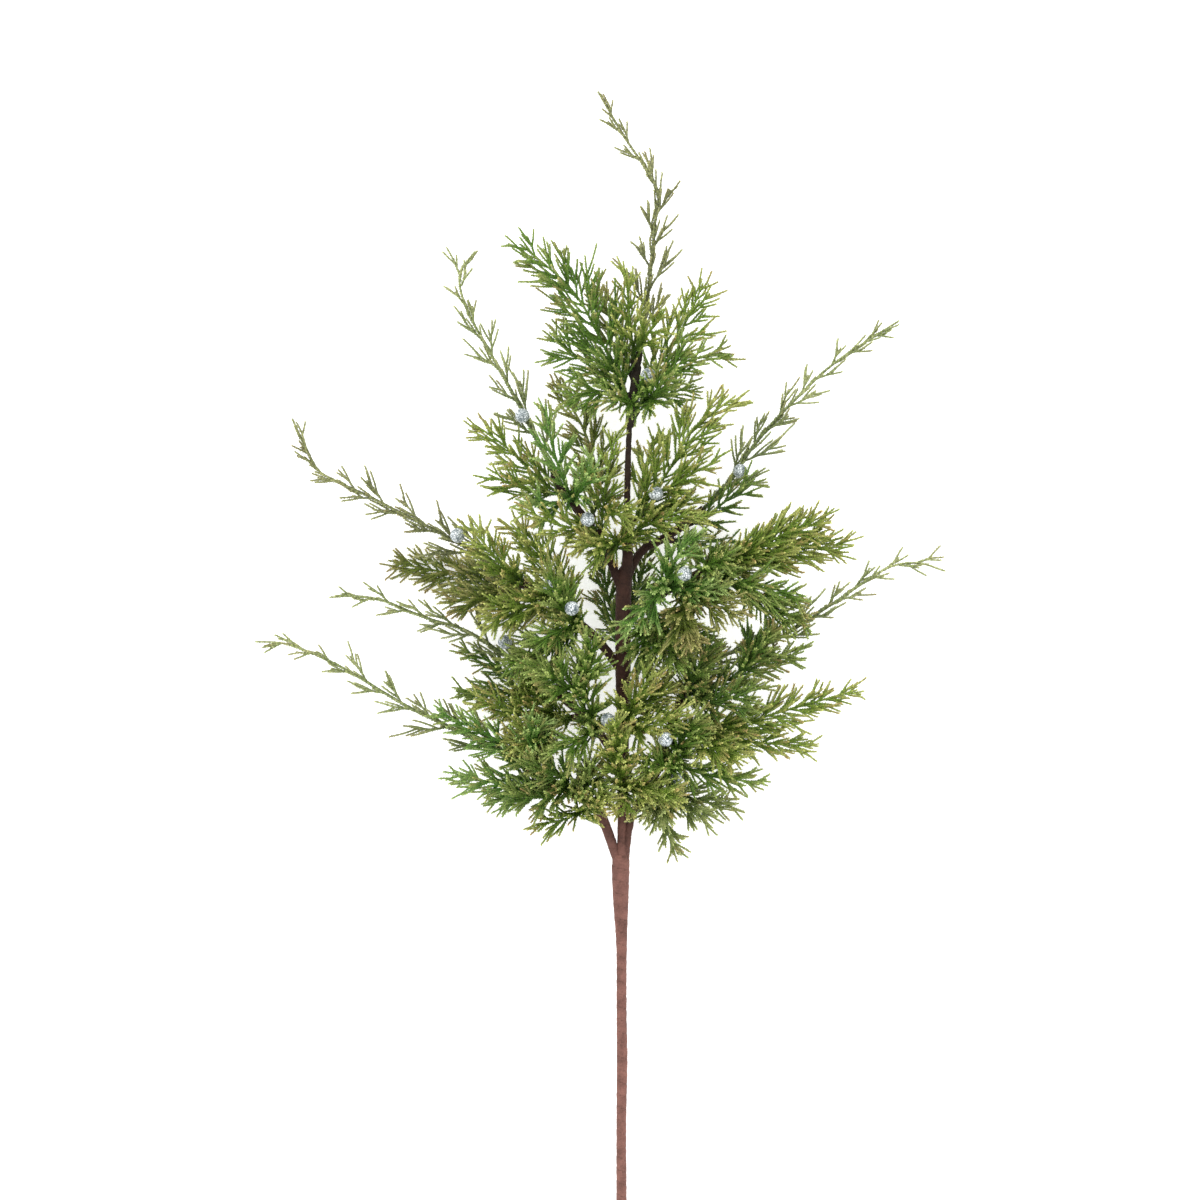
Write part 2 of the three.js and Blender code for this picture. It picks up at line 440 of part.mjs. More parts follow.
// Grows the side shoots of a line, and the twiglets of each shoot, alternately left and right.
function grow(line, kind, kindName, spread, seed, lowest) {
  const length = lengthOf(line);
  const run = length - kind.start - kind.bareTip;
  const count = Math.max(3, Math.round(run / kind.pitch));
  const up = new THREE.Vector3(0, 0, 1);
  const raise = (spot) => spot.setZ(Math.max(spot.z, lowest));
  const shoots = [];
  for (let i = 0; i < count; i += 1) {
    const draw = draws(seed + SHOOT_STEP * i);
    const share = (i + 0.5 + SPACING_SPREAD * (draw() - 0.5)) / count;
    const spot = spotOn(line, kind.start + run * share);
    const side = spot.along.clone().cross(up).normalize();
    const face = side.clone().cross(spot.along).normalize();
    const hand = i % 2 ? -1 : 1;
    const tilt = THREE.MathUtils.degToRad((draw() * 2 - 1) * kind.tilt);
    const lean = kind.wide + (kind.narrow - kind.wide) * share + (draw() - 0.5) * ANGLE_SPREAD;
    const angle = THREE.MathUtils.degToRad(lean);
    const out = side.clone().multiplyScalar(hand * Math.cos(tilt)).addScaledVector(face, Math.sin(tilt));
    const along = spot.along.clone().multiplyScalar(Math.cos(angle)).addScaledVector(out, Math.sin(angle));
    const reach = Math.max(SHORTEST_SHOOT, uneven(spread * outline(kindName, share), draw));
    const tip = raise(spot.at.clone().addScaledVector(along, reach));
    const twiglets = [];
    const amount = Math.max(1, Math.round(reach / kind.twigletPitch));
    const shootSide = along.clone().cross(face).normalize();
    for (let j = 0; j < amount; j += 1) {
      const part = TWIGLET_FROM + ((TWIGLET_TO - TWIGLET_FROM) * (j + draw())) / amount;
      const turn = THREE.MathUtils.degToRad(kind.twigletAngle + draw() * TWIGLET_ANGLE_SPREAD);
      const lift = THREE.MathUtils.degToRad((draw() * 2 - 1) * TWIGLET_LIFT);
      const root = spot.at.clone().lerp(tip, part);
      const sideways = shootSide.clone().multiplyScalar((j % 2 ? -1 : 1) * Math.cos(lift));
      sideways.addScaledVector(face, Math.sin(lift));
      const heading = along.clone().multiplyScalar(Math.cos(turn)).addScaledVector(sideways, Math.sin(turn));
      const span = uneven(TWIGLET_LENGTH + TWIGLET_SHARE * reach * (1 - part), draw);
      twiglets.push([root, raise(root.clone().addScaledVector(heading, span))]);
    }
    shoots.push({ root: spot.at, tip, twiglets, kept: i % kind.keep === 0 });
  }
  return shoots;
}

// Everything that other pieces must keep clear of, as round-ended rods.
const rods = [];

function claim(owner, from, to, radius) {
  rods.push({ owner, from, to, radius });
}

// Shortest distance between two rods' centre lines.
function rodDistance(a, b, c, d) {
  const first = b.clone().sub(a);
  const second = d.clone().sub(c);
  const between = a.clone().sub(c);
  const aa = first.dot(first);
  const bb = second.dot(second);
  const ab = first.dot(second);
  const af = first.dot(between);
  const bf = second.dot(between);
  const spread = aa * bb - ab * ab;
  let s = spread > 1e-9 ? THREE.MathUtils.clamp((ab * bf - af * bb) / spread, 0, 1) : 0;
  let t = bb > 1e-9 ? (ab * s + bf) / bb : 0;
  if (t < 0 || t > 1) {
    t = THREE.MathUtils.clamp(t, 0, 1);
    s = aa > 1e-9 ? THREE.MathUtils.clamp((ab * t - af) / aa, 0, 1) : 0;
  }
  return a.clone().addScaledVector(first, s).distanceTo(c.clone().addScaledVector(second, t));
}

function isClear(owner, from, to, radius) {
  return rods.every((rod) => rod.owner === owner
    || rodDistance(from, to, rod.from, rod.to) > radius + rod.radius + TWIG_GAP);
}

// Shortens a twig until it stands clear of every other piece; null when it has no room.
function fitted(owner, root, tip, radius) {
  for (const share of TRIM_STEPS) {
    const end = root.clone().lerp(tip, share);
    if (end.distanceTo(root) >= SHORTEST_TWIG && isClear(owner, root, end, radius)) {
      return end;
    }
  }
  return null;
}

// Centre lines and radii of the main stem and its branches.
const stemLines = {};
const stemRadii = {};
for (const [name, rows] of Object.entries({ main: MAIN, ...BRANCHES })) {
  stemLines[name] = rows.map(vector);
  stemRadii[name] = rows.map((row) => row[3]);
}

// Lines of every spray, and its taped socket: the end of a branch, or a sleeve on its side.
const stemBodies = [];
const socketHoles = [];
for (const spray of SPRAYS) {
  const holder = stemLines[spray.on];
  spray.routes = [];
  spray.lines.forEach((line, order) => {
    const path = line.path.map(vector);
    path[0] = nearestOn(order ? spray.routes[0] : holder, path[0]);
    const route = smooth(path, STALK_STEP);
    if (order === 0) {
      const direction = route[1].clone().sub(route[0]).normalize();
      const root = route[0].clone();
      const mouth = root.clone().addScaledVector(direction, SOCKET_LENGTH);
      if (root.distanceTo(holder[holder.length - 1]) < 1) {
        holder.push(mouth);
        stemRadii[spray.on].push(SOCKET_RADIUS);
      } else {
        stemBodies.push(bar(SOCKET_SIDES, [root, mouth], [SOCKET_ROOT_RADIUS, SOCKET_RADIUS]));
        claim("stem_taped", root, mouth, SOCKET_RADIUS);
      }
      route[0].addScaledVector(direction, STALK_START);
      const holeStart = route[0].clone().addScaledVector(direction, -FIT_GAP);
      const holeEnd = mouth.clone().addScaledVector(direction, 1);
      const holeRadius = STALK_ROOT_RADIUS + 2 * FIT_GAP;
      socketHoles.push(bar(TWIG_SIDES, [holeStart, holeEnd], [holeRadius, holeRadius * SOCKET_FLARE]));
    }
    spray.routes.push(route);
  });
}

// Taped bodies of the main stem and its branches.
for (const [name, line] of Object.entries(stemLines)) {
  const sides = name === "main" ? STEM_SIDES : BRANCH_SIDES;
  const radii = stemRadii[name];
  stemBodies.push(bar(sides, line, radii));
  line.slice(1).forEach((point, i) => {
    claim("stem_taped", line[i], point, Math.max(radii[i], radii[i + 1]));
  });
}

// Steel wire in a bore that opens at the cut end.
const wireLine = stemLines.main.slice(0, WIRE_STATIONS);
const wireHeading = wireLine[0].clone().sub(wireLine[1]).normalize();
const wirePoints = [wireLine[0].clone().addScaledVector(wireHeading, WIRE_STICKS_OUT), ...wireLine.slice(1)];
const wire = bar(STEM_SIDES, wirePoints, wirePoints.map(() => WIRE_RADIUS));
const borePoints = wirePoints.map((point) => point.clone());
const boreEnd = borePoints[WIRE_STATIONS - 1];
boreEnd.addScaledVector(boreEnd.clone().sub(borePoints[WIRE_STATIONS - 2]).normalize(), FIT_GAP);
borePoints[0].addScaledVector(wireHeading, 1);
const bore = bar(STEM_SIDES, borePoints, borePoints.map(() => WIRE_RADIUS + FIT_GAP * 1.1));

// Surface the spray lies on, used to trim what rests on it.
const ground = solid(new THREE.BoxGeometry(700, 1000, 40).translate(0, 0, -20));

const group = new THREE.Group();
const bores = wasm.Manifold.union([bore, ...socketHoles]);
const stem = wasm.Manifold.union(stemBodies).subtract(bores).subtract(ground);
group.add(piece("stem_taped", stem, TAPE_COLOUR, 0.85, 0));
group.add(piece("stem_wire", wire, WIRE_COLOUR, 0.4, 1));

// Berries and the pegs that hold them.
for (const [order, berry] of BERRIES.entries()) {
  const carrier = SPRAYS.find((spray) => spray.name === berry.on);
  const centre = vector(berry.at);
  const root = carrier.routes
    .map((route) => nearestOn(route, centre))
    .reduce((best, spot) => (spot.distanceTo(centre) < best.distanceTo(centre) ? spot : best));
  const direction = centre.clone().sub(root).normalize();
  const pegEnd = centre.clone().addScaledVector(direction, PEG_DEPTH - BERRY_RADIUS);
  const holeEnd = pegEnd.clone().addScaledVector(direction, FIT_GAP);
  carrier.pegs = [...(carrier.pegs || []), [root, pegEnd]];
  const name = `berry_${String(order + 1).padStart(2, "0")}`;
  const ball = solid(new THREE.IcosahedronGeometry(BERRY_RADIUS, 1).translate(centre.x, centre.y, centre.z));
  const hole = bar(TWIG_SIDES, [root, holeEnd], [PEG_RADIUS + 2 * FIT_GAP, PEG_RADIUS + 2 * FIT_GAP]);
  group.add(piece(name, ball.subtract(hole), BERRY_COLOUR, 0.7, 0));
  claim(name, centre, centre, BERRY_RADIUS);
  claim(berry.on, root, pegEnd, PEG_RADIUS);
}

// Claim the room of every line before its shoots grow.
for (const spray of SPRAYS) {
  spray.routes.forEach((route, lineOrder) => {
    const kind = KINDS[spray.lines[lineOrder].kind];
    route.slice(1).forEach((point, i) => claim(spray.name, route[i], point, kind.stalk));
  });
}

// Side shoots first, then twiglets, so that the outer shape of every spray has room.
SPRAYS.forEach((spray, order) => {
  spray.bodies = [];
  spray.grown = [];
  spray.routes.forEach((route, lineOrder) => {
    const line = spray.lines[lineOrder];
    const kind = KINDS[line.kind];
    const radii = route.map((_, i) => {
      const share = i / (route.length - 1);
      return kind.stalk + (kind.stalkTip - kind.stalk) * share;
    });
    radii[0] = lineOrder ? SHOOT_ROOT_RADIUS : STALK_ROOT_RADIUS;
    spray.bodies.push(bar(TWIG_SIDES, route, radii));
    const lowest = spray.rests ? REST_HEIGHT : FREE_HEIGHT;
    const seed = FIRST_SEED + SPRAY_STEP * order + LINE_STEP * lineOrder;
    const shoots = grow(route, kind, line.kind, line.spread, seed, lowest);
    for (const shoot of shoots.filter((entry) => entry.kept)) {
      const end = fitted(spray.name, shoot.root, shoot.tip, SHOOT_RADIUS);
      if (end) {
        claim(spray.name, shoot.root, end, SHOOT_RADIUS);
        spray.bodies.push(bar(TWIG_SIDES, [shoot.root, end], [SHOOT_ROOT_RADIUS, SHOOT_RADIUS]));
        spray.grown.push({ shoot, reached: end.distanceTo(shoot.root), every: kind.twigletEvery });
      }
    }
  });
  for (const [root, end] of spray.pegs || []) {
    spray.bodies.push(bar(TWIG_SIDES, [root, end], [PEG_RADIUS, PEG_RADIUS]));
  }
});
for (const spray of SPRAYS) {
  spray.grown.forEach(({ shoot, reached, every }, i) => {
    const [root, tip] = shoot.twiglets[Math.floor(shoot.twiglets.length / 2)];
    const wanted = i % every === 0 && root.distanceTo(shoot.root) < reached - 2;
    const end = wanted ? fitted(spray.name, root, tip, TWIGLET_RADIUS) : null;
    if (end) {
      claim(spray.name, root, end, TWIGLET_RADIUS);
      spray.bodies.push(bar(TWIG_SIDES, [root, end], [TWIGLET_ROOT_RADIUS, TWIGLET_RADIUS]));
    }
  });
  const body = wasm.Manifold.union(spray.bodies);
  group.add(piece(spray.name, spray.rests ? body.subtract(ground) : body, TONES[spray.tone], 0.6, 0));
}

export default group;
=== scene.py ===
import math
import bmesh
import bpy
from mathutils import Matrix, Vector, noise


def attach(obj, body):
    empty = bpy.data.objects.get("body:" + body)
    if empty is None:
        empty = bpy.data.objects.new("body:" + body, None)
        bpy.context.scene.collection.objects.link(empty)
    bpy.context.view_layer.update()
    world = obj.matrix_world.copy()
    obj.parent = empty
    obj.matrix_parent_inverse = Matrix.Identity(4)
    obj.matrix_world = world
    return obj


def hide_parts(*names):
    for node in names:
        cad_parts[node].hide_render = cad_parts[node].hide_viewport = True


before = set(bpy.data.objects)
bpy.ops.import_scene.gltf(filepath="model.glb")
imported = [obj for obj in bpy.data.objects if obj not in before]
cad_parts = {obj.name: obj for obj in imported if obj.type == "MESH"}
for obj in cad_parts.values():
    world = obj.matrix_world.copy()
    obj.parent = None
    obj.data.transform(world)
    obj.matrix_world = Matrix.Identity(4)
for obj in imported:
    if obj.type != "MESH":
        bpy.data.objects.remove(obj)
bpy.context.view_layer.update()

# Camera above the spray, which lies on its back on a pale table.
# A long lens looks straight down, and the cut end of the stem runs off the lower edge.
LENS = 100.0
SENSOR = 36.0
VIEW_WIDTH = 0.78
VIEW_LEVEL = 0.05
VIEW_CENTRE = (0.000975, 0.03835)
camera_data = bpy.data.cameras.new("overhead_camera")
camera_data.lens = LENS
camera_data.sensor_width = SENSOR
camera_data.sensor_height = SENSOR
camera = bpy.data.objects.new("overhead_camera", camera_data)
camera.location = (*VIEW_CENTRE, VIEW_LEVEL + VIEW_WIDTH * LENS / SENSOR)
bpy.context.scene.collection.objects.link(camera)
bpy.context.scene.camera = camera

# Pale matte table top that fades to white under the spray.
# A broad soft panel above it, a low fill at its side and a white room light it.
TABLE_REACH = 4
TABLE_CORNERS = [(x * TABLE_REACH, y * TABLE_REACH, 0) for x, y in ((-1, -1), (1, -1), (1, 1), (-1, 1))]
table_mesh = bpy.data.meshes.new("pale_table")
table_mesh.from_pydata(TABLE_CORNERS, [], [(0, 1, 2, 3)])
table = bpy.data.objects.new("pale_table", table_mesh)
bpy.context.scene.collection.objects.link(table)
table_paint = bpy.data.materials.new("pale_table_paint")
table_paint.use_nodes = True
table_shader = table_paint.node_tree.nodes["Principled BSDF"]
table_shader.inputs["Base Color"].default_value = (0.95, 0.95, 0.95, 1)
table_shader.inputs["Roughness"].default_value = 0.9
table_shader.inputs["Emission Color"].default_value = (1, 1, 1, 1)
table_shader.inputs["Emission Strength"].default_value = 0.55
table_mesh.materials.append(table_paint)

for light_name, place, aim, size, watts in (
    ("soft_panel", (-0.7, 0.9, 1.9), (0.0, 0.0, 0.0), 1.6, 25.0),
    ("low_fill", (1.4, -0.6, 1.3), (0.0, 0.0, 0.0), 1.4, 10.0),
):
    light_data = bpy.data.lights.new(light_name, "AREA")
    light_data.size = size
    light_data.energy = watts
    light = bpy.data.objects.new(light_name, light_data)
    light.location = place
    light.rotation_euler = (Vector(aim) - Vector(place)).to_track_quat("-Z", "Y").to_euler()
    bpy.context.scene.collection.objects.link(light)
sky = bpy.data.worlds.new("white_room")
sky.use_nodes = True
sky.node_tree.nodes["Background"].inputs["Color"].default_value = (1, 1, 1, 1)
sky.node_tree.nodes["Background"].inputs["Strength"].default_value = 0.95
bpy.context.scene.world = sky
bpy.context.scene.view_settings.view_transform = "Standard"

# Paper-taped stem: a wire core wound in a slanting spiral with brown floral paper tape.
# The main stem swells where branch wires are bound in, and each branch is wound the same way.
# The tape is pinkish brown on the lower stem and dark reddish brown among the foliage.
# Each row gives X, Y, Z and radius in millimetres.
MAIN_STEM = [
    (15.3, -368, 3.2, 3.45), (15.1, -310, 8, 3.3), (15.6, -268, 12.2, 3.6), (15.2, -230, 17, 3.4),
    (15.2, -190, 22, 3.6), (14.6, -158, 26, 5.2), (14.6, -133, 29, 5.75), (15.3, -120, 30.5, 3.1),
    (16, -60, 37, 3.8), (16, -8, 42, 5), (16.2, 40, 46, 5.1), (17.2, 55, 47.3, 5),
    (18.8, 62, 48, 3.7), (18.8, 78, 49.4, 3.5), (18.6, 86, 50.1, 2.2), (18.8, 116, 52.7, 2.1),
    (19.9, 148, 55.4, 1.9), (20.3, 153, 55.8, 3), (25, 190, 59, 2.9),
]
BRANCHES = {
    "upper_left": [(15, 44, 46.5, 2.8), (5, 70, 52, 2.8), (-10, 92, 57, 2.9), (-25, 112, 60, 2.9)],
    "upper_right": [(17.5, 50, 47, 2.6), (28, 70, 43, 2.8), (45, 80, 40, 2.9), (62, 92, 39, 2.9)],
    "mid_right": [(17, 22, 44.5, 3), (35, 38, 52, 3), (52, 49, 57, 2.9), (66, 56, 59, 2.9)],
    "mid_left": [(15, -8, 42, 3), (-3, 15, 47, 3), (-28, 34, 51, 2.9), (-52, 51, 53, 2.9)],
    "centre_left": [(14.5, -70, 36, 2.8), (0, -48, 33, 2.9), (-16, -32, 31, 2.9), (-32, -19, 30, 2.9)],
    "low_right": [(17.6, -134, 29, 2.3), (19.9, -113, 31.6, 2.3), (24.5, -97, 34, 2.4), (37, -76, 38, 2.9),
                  (46, -48, 41, 2.9), (56, -20, 42, 2.9)],
    "low_left": [(13.5, -135, 29, 3.2), (0, -100, 34, 3.3), (-18, -88, 37, 3), (-42, -74, 39, 2.9)],
}
STEM_STEPS = 6
TAPE_ROOM = 0.15


def put(tree, kind, sockets=None, **settings):
    """Adds one node, with its settings, and fills its sockets by value or by link."""
    node = tree.nodes.new(kind)
    for name, value in settings.items():
        setattr(node, name, value)
    for key, value in (sockets or {}).items():
        if isinstance(value, bpy.types.NodeSocket):
            tree.links.new(value, node.inputs[key])
        else:
            node.inputs[key].default_value = value
    return node


def maths(tree, operation, *values):
    """Adds one step of arithmetic."""
    return put(tree, "ShaderNodeMath", dict(enumerate(values)), operation=operation)


def remap(tree, value, given=(0.0, 1.0), wanted=(0.0, 1.0)):
    """Carries a value from a given range to a wanted one, and holds it there."""
    return put(tree, "ShaderNodeMapRange", {"Value": value, "From Min": given[0], "From Max": given[1],
                                            "To Min": wanted[0], "To Max": wanted[1]})


def layer(tree, name):
    """Reads a named layer of numbers from the geometry."""
    return put(tree, "GeometryNodeInputNamedAttribute", {"Name": name}, data_type="FLOAT")


def keep_layer(tree, geometry, name, value):
    """Writes a named layer of numbers on the points of the geometry."""
    return put(tree, "GeometryNodeStoreNamedAttribute", {"Geometry": geometry, "Name": name, "Value": value},
               data_type="FLOAT", domain="POINT")


def new_tree(name, inputs):
    """Starts a geometry tree with named inputs, and gives the tree and its input node."""
    tree = bpy.data.node_groups.new(name, "GeometryNodeTree")
    for socket_name, kind in inputs:
        tree.interface.new_socket(name=socket_name, in_out="INPUT", socket_type="NodeSocket" + kind)
    tree.interface.new_socket(name="Geometry", in_out="OUTPUT", socket_type="NodeSocketGeometry")
    return tree, tree.nodes.new("NodeGroupInput").outputs


def bake(name, lines, tree, values):
    """Runs a geometry tree on a skeleton of lines, and keeps its result as a plain mesh object."""
    points, edges = [], []
    layers = {"girth": [], "age": [], "tint": []}
    for line in lines:
        first = len(points)
        count = len(line["points"])
        points.extend(tuple(0.001 * c for c in point) for point in line["points"])
        edges.extend((first + i, first + i + 1) for i in range(count - 1))
        for i in range(count):
            layers["girth"].append(0.001 * line["girth"][i])
            layers["age"].append(line["age"][0] + (line["age"][1] - line["age"][0]) * i / (count - 1))
            layers["tint"].append(line["tint"])
    skeleton_mesh = bpy.data.meshes.new(name + "_skeleton")
    skeleton_mesh.from_pydata(points, edges, [])
    for layer, numbers in layers.items():
        skeleton_mesh.attributes.new(layer, "FLOAT", "POINT").data.foreach_set("value", numbers)
    skeleton = bpy.data.objects.new(name + "_skeleton", skeleton_mesh)
    bpy.context.scene.collection.objects.link(skeleton)
    modifier = skeleton.modifiers.new("form", "NODES")
    modifier.node_group = tree
    for item in tree.interface.items_tree:
        if item.in_out == "INPUT" and item.name in values:
            modifier[item.identifier] = values[item.name]
    bpy.context.view_layer.update()
    depsgraph = bpy.context.evaluated_depsgraph_get()
    mesh = bpy.data.meshes.new_from_object(
        skeleton.evaluated_get(depsgraph), preserve_all_data_layers=True, depsgraph=depsgraph)
    mesh.name = name
    bpy.data.objects.remove(skeleton)
    for vertex in mesh.vertices:
        vertex.co.z = max(vertex.co.z, 0.0)
    piece = bpy.data.objects.new(name, mesh)
    bpy.context.scene.collection.objects.link(piece)
    return piece


def smooth_line(points, steps):
    """Fills a smooth curve through the points, with a number of steps in each span."""
    filled = []
    count = len(points)
    for i in range(count - 1):
        a, b = points[i], points[i + 1]
        before = points[i - 1] if i else [2 * p - q for p, q in zip(a, b)]
        after = points[i + 2] if i + 2 < count else [2 * q - p for p, q in zip(a, b)]
        for step in range(steps):
            t = step / steps
            filled.append([
                (2 * t ** 3 - 3 * t ** 2 + 1) * p + (t ** 3 - 2 * t ** 2 + t) * 0.5 * (q - o)
                + (3 * t ** 2 - 2 * t ** 3) * q + (t ** 3 - t ** 2) * 0.5 * (r - p)
                for o, p, q, r in zip(before, a, b, after)])
    filled.append(list(points[-1]))
    return filled


wound_tree, given = new_tree("wound_paper_tape", [
    ("Wire", "Geometry"), ("Ring Spacing", "Float"), ("Sides", "Int"), ("Tape Pitch", "Float"),
    ("Lap Height", "Float"), ("Crinkle", "Float"), ("Tape", "Material")])
wire_curve = put(wound_tree, "GeometryNodeMeshToCurve", {"Mesh": given["Wire"]})
rings = put(wound_tree, "GeometryNodeResampleCurve",
            {"Curve": wire_curve.outputs[0], "Length": given["Ring Spacing"]}, mode="LENGTH")
station = put(wound_tree, "GeometryNodeSplineParameter")
wrapped = keep_layer(wound_tree, rings.outputs[0], "wrap", station.outputs["Length"])
circle = put(wound_tree, "GeometryNodeCurvePrimitiveCircle", {"Resolution": given["Sides"], "Radius": 1.0})
around = put(wound_tree, "GeometryNodeSplineParameter")
turned = keep_layer(wound_tree, circle.outputs[0], "turn", around.outputs["Factor"])
girth = layer(wound_tree, "girth")
tube = put(wound_tree, "GeometryNodeCurveToMesh",
           {"Curve": wrapped.outputs[0], "Profile Curve": turned.outputs[0], "Scale": girth.outputs[0],
            "Fill Caps": True})
wrap = layer(wound_tree, "wrap")
turn = layer(wound_tree, "turn")
laps = maths(wound_tree, "DIVIDE", wrap.outputs[0], given["Tape Pitch"])
spiral = maths(wound_tree, "ADD", laps.outputs[0], turn.outputs[0])
phase = maths(wound_tree, "FRACT", spiral.outputs[0])
kept_phase = keep_layer(wound_tree, tube.outputs[0], "lap", phase.outputs[0])
crumple = put(wound_tree, "ShaderNodeTexNoise", {"Scale": 420.0, "Detail": 3.0})
crumple_centred = maths(wound_tree, "SUBTRACT", crumple.outputs["Fac"], 0.5)
crumple_height = maths(wound_tree, "MULTIPLY", crumple_centred.outputs[0], given["Crinkle"])
lap_phase = layer(wound_tree, "lap")
lap_height = maths(wound_tree, "MULTIPLY", lap_phase.outputs[0], given["Lap Height"])
height = maths(wound_tree, "ADD", lap_height.outputs[0], crumple_height.outputs[0])
outward = put(wound_tree, "GeometryNodeInputNormal")
raised = put(wound_tree, "ShaderNodeVectorMath",
             {0: outward.outputs[0], 3: height.outputs[0]}, operation="SCALE")
wound = put(wound_tree, "GeometryNodeSetPosition",
            {"Geometry": kept_phase.outputs[0], "Offset": raised.outputs[0]})
smooth_wound = put(wound_tree, "GeometryNodeSetShadeSmooth",
                   {"Geometry": wound.outputs[0], "Shade Smooth": True})
solid_wound = put(wound_tree, "GeometryNodeRealizeInstances", {"Geometry": smooth_wound.outputs[0]})
taped = put(wound_tree, "GeometryNodeSetMaterial",
            {"Geometry": solid_wound.outputs[0], "Material": given["Tape"]})
put(wound_tree, "NodeGroupOutput", {"Geometry": taped.outputs[0]})

stem_tape = bpy.data.materials.new("brown_paper_tape")
stem_tape.use_nodes = True
tape_nodes = stem_tape.node_tree
tape_shader = tape_nodes.nodes["Principled BSDF"]
tape_place = put(tape_nodes, "ShaderNodeTexCoord")
tape_axes = put(tape_nodes, "ShaderNodeSeparateXYZ", {0: tape_place.outputs["Object"]})
tape_height = remap(tape_nodes, tape_axes.outputs["Y"], given=(-0.2, 0.16))
tape_shade = put(tape_nodes, "ShaderNodeValToRGB", {"Fac": tape_height.outputs[0]})
tape_ramp = tape_shade.color_ramp
tape_ramp.elements[0].position = 0.0
tape_ramp.elements[0].color = (0.205, 0.095, 0.075, 1)
tape_ramp.elements[1].position = 1.0
tape_ramp.elements[1].color = (0.032, 0.024, 0.016, 1)
for stop, colour in ((0.2, (0.175, 0.080, 0.063, 1)), (0.42, (0.070, 0.030, 0.021, 1)),
                     (0.8, (0.048, 0.022, 0.016, 1))):
    tape_ramp.elements.new(stop).color = colour
tape_fibres = put(tape_nodes, "ShaderNodeTexNoise",
                  {"Vector": tape_place.outputs["Object"], "Scale": 900.0, "Detail": 6.0, "Roughness": 0.7})
tape_patches = put(tape_nodes, "ShaderNodeTexNoise",
                   {"Vector": tape_place.outputs["Object"], "Scale": 130.0, "Detail": 3.0})
tape_mottle = maths(tape_nodes, "ADD", tape_fibres.outputs["Fac"], tape_patches.outputs["Fac"])
tape_value = remap(tape_nodes, tape_mottle.outputs[0], given=(0.65, 1.35), wanted=(0.5, 1.45))
tape_lap = put(tape_nodes, "ShaderNodeAttribute", attribute_name="lap")
# Painted shade: the tape is darker just under the edge of each lap, in the crease where one turn overlaps the
# next.
tape_lap_shade = remap(tape_nodes, tape_lap.outputs["Fac"], given=(0.0, 0.2), wanted=(0.5, 1.0))
tape_branch = put(tape_nodes, "ShaderNodeAttribute", attribute_name="tint")
tape_branch_value = remap(tape_nodes, tape_branch.outputs["Fac"], wanted=(1.0, 0.8))
# The mottle and the painted lap shade darken the tape together, and the tape on the branches is a little
# darker still.
tape_mottle_and_lap_shade = maths(tape_nodes, "MULTIPLY", tape_value.outputs[0], tape_lap_shade.outputs[0])
tape_mottle_lap_shade_and_branch_tone = maths(tape_nodes, "MULTIPLY", tape_mottle_and_lap_shade.outputs[0], tape_branch_value.outputs[0])
tape_colour = put(tape_nodes, "ShaderNodeVectorMath",
                  {0: tape_shade.outputs[0], 3: tape_mottle_lap_shade_and_branch_tone.outputs[0]}, operation="SCALE")
tape_nodes.links.new(tape_colour.outputs[0], tape_shader.inputs["Base Color"])
tape_bump = put(tape_nodes, "ShaderNodeBump",
                {"Height": tape_mottle.outputs[0], "Strength": 0.5, "Distance": 0.0006})
tape_nodes.links.new(tape_bump.outputs[0], tape_shader.inputs["Normal"])
tape_rough = remap(tape_nodes, tape_fibres.outputs["Fac"], wanted=(0.7, 0.94))
tape_nodes.links.new(tape_rough.outputs[0], tape_shader.inputs["Roughness"])
tape_shader.inputs["Specular IOR Level"].default_value = 0.3

TAPE_FORM = {"Ring Spacing": 0.0011, "Sides": 22, "Tape Pitch": 0.0085, "Lap Height": 0.00022,
             "Crinkle": 0.0006, "Tape": stem_tape}
stem_lines = []
for rows in [MAIN_STEM, *BRANCHES.values()]:
    filled_rows = smooth_line(rows, STEM_STEPS)
    stem_lines.append({"points": [row[:3] for row in filled_rows],
                       "girth": [row[3] - TAPE_ROOM for row in filled_rows],
                       "age": (0, 1), "tint": 0.0 if rows is MAIN_STEM else 1.0})
stem_piece = bake("taped_stem", stem_lines, wound_tree, TAPE_FORM)
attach(stem_piece, "root")
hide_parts("stem_taped")

# Core wire: bright drawn steel inside the lower stem, cut off square at the stem's end.
# Only its end face shows, standing a little proud of the tape.
WIRE_GIRTH = 1.3
WIRE_PROUD = 0.8
WIRE_ROWS = 5
wire_steel = bpy.data.materials.new("drawn_steel_wire")
wire_steel.use_nodes = True
steel_nodes = wire_steel.node_tree
steel_shader = steel_nodes.nodes["Principled BSDF"]
steel_place = put(steel_nodes, "ShaderNodeTexCoord")
steel_stretch = put(steel_nodes, "ShaderNodeMapping",
                    {"Vector": steel_place.outputs["Object"], "Scale": (1, 0.05, 1)})
steel_lines = put(steel_nodes, "ShaderNodeTexNoise",
                  {"Vector": steel_stretch.outputs[0], "Scale": 2500.0, "Detail": 4.0})
steel_grey = remap(steel_nodes, steel_lines.outputs["Fac"], wanted=(0.18, 0.42))
steel_nodes.links.new(steel_grey.outputs[0], steel_shader.inputs["Base Color"])
steel_shader.inputs["Metallic"].default_value = 1.0
steel_rough = remap(steel_nodes, steel_lines.outputs["Fac"], wanted=(0.28, 0.48))
steel_nodes.links.new(steel_rough.outputs[0], steel_shader.inputs["Roughness"])
wire_points = smooth_line([row[:3] for row in MAIN_STEM[:WIRE_ROWS]], STEM_STEPS)
end_step = Vector(wire_points[0]) - Vector(wire_points[1])
wire_points[0] = list(Vector(wire_points[0]) + end_step.normalized() * WIRE_PROUD)
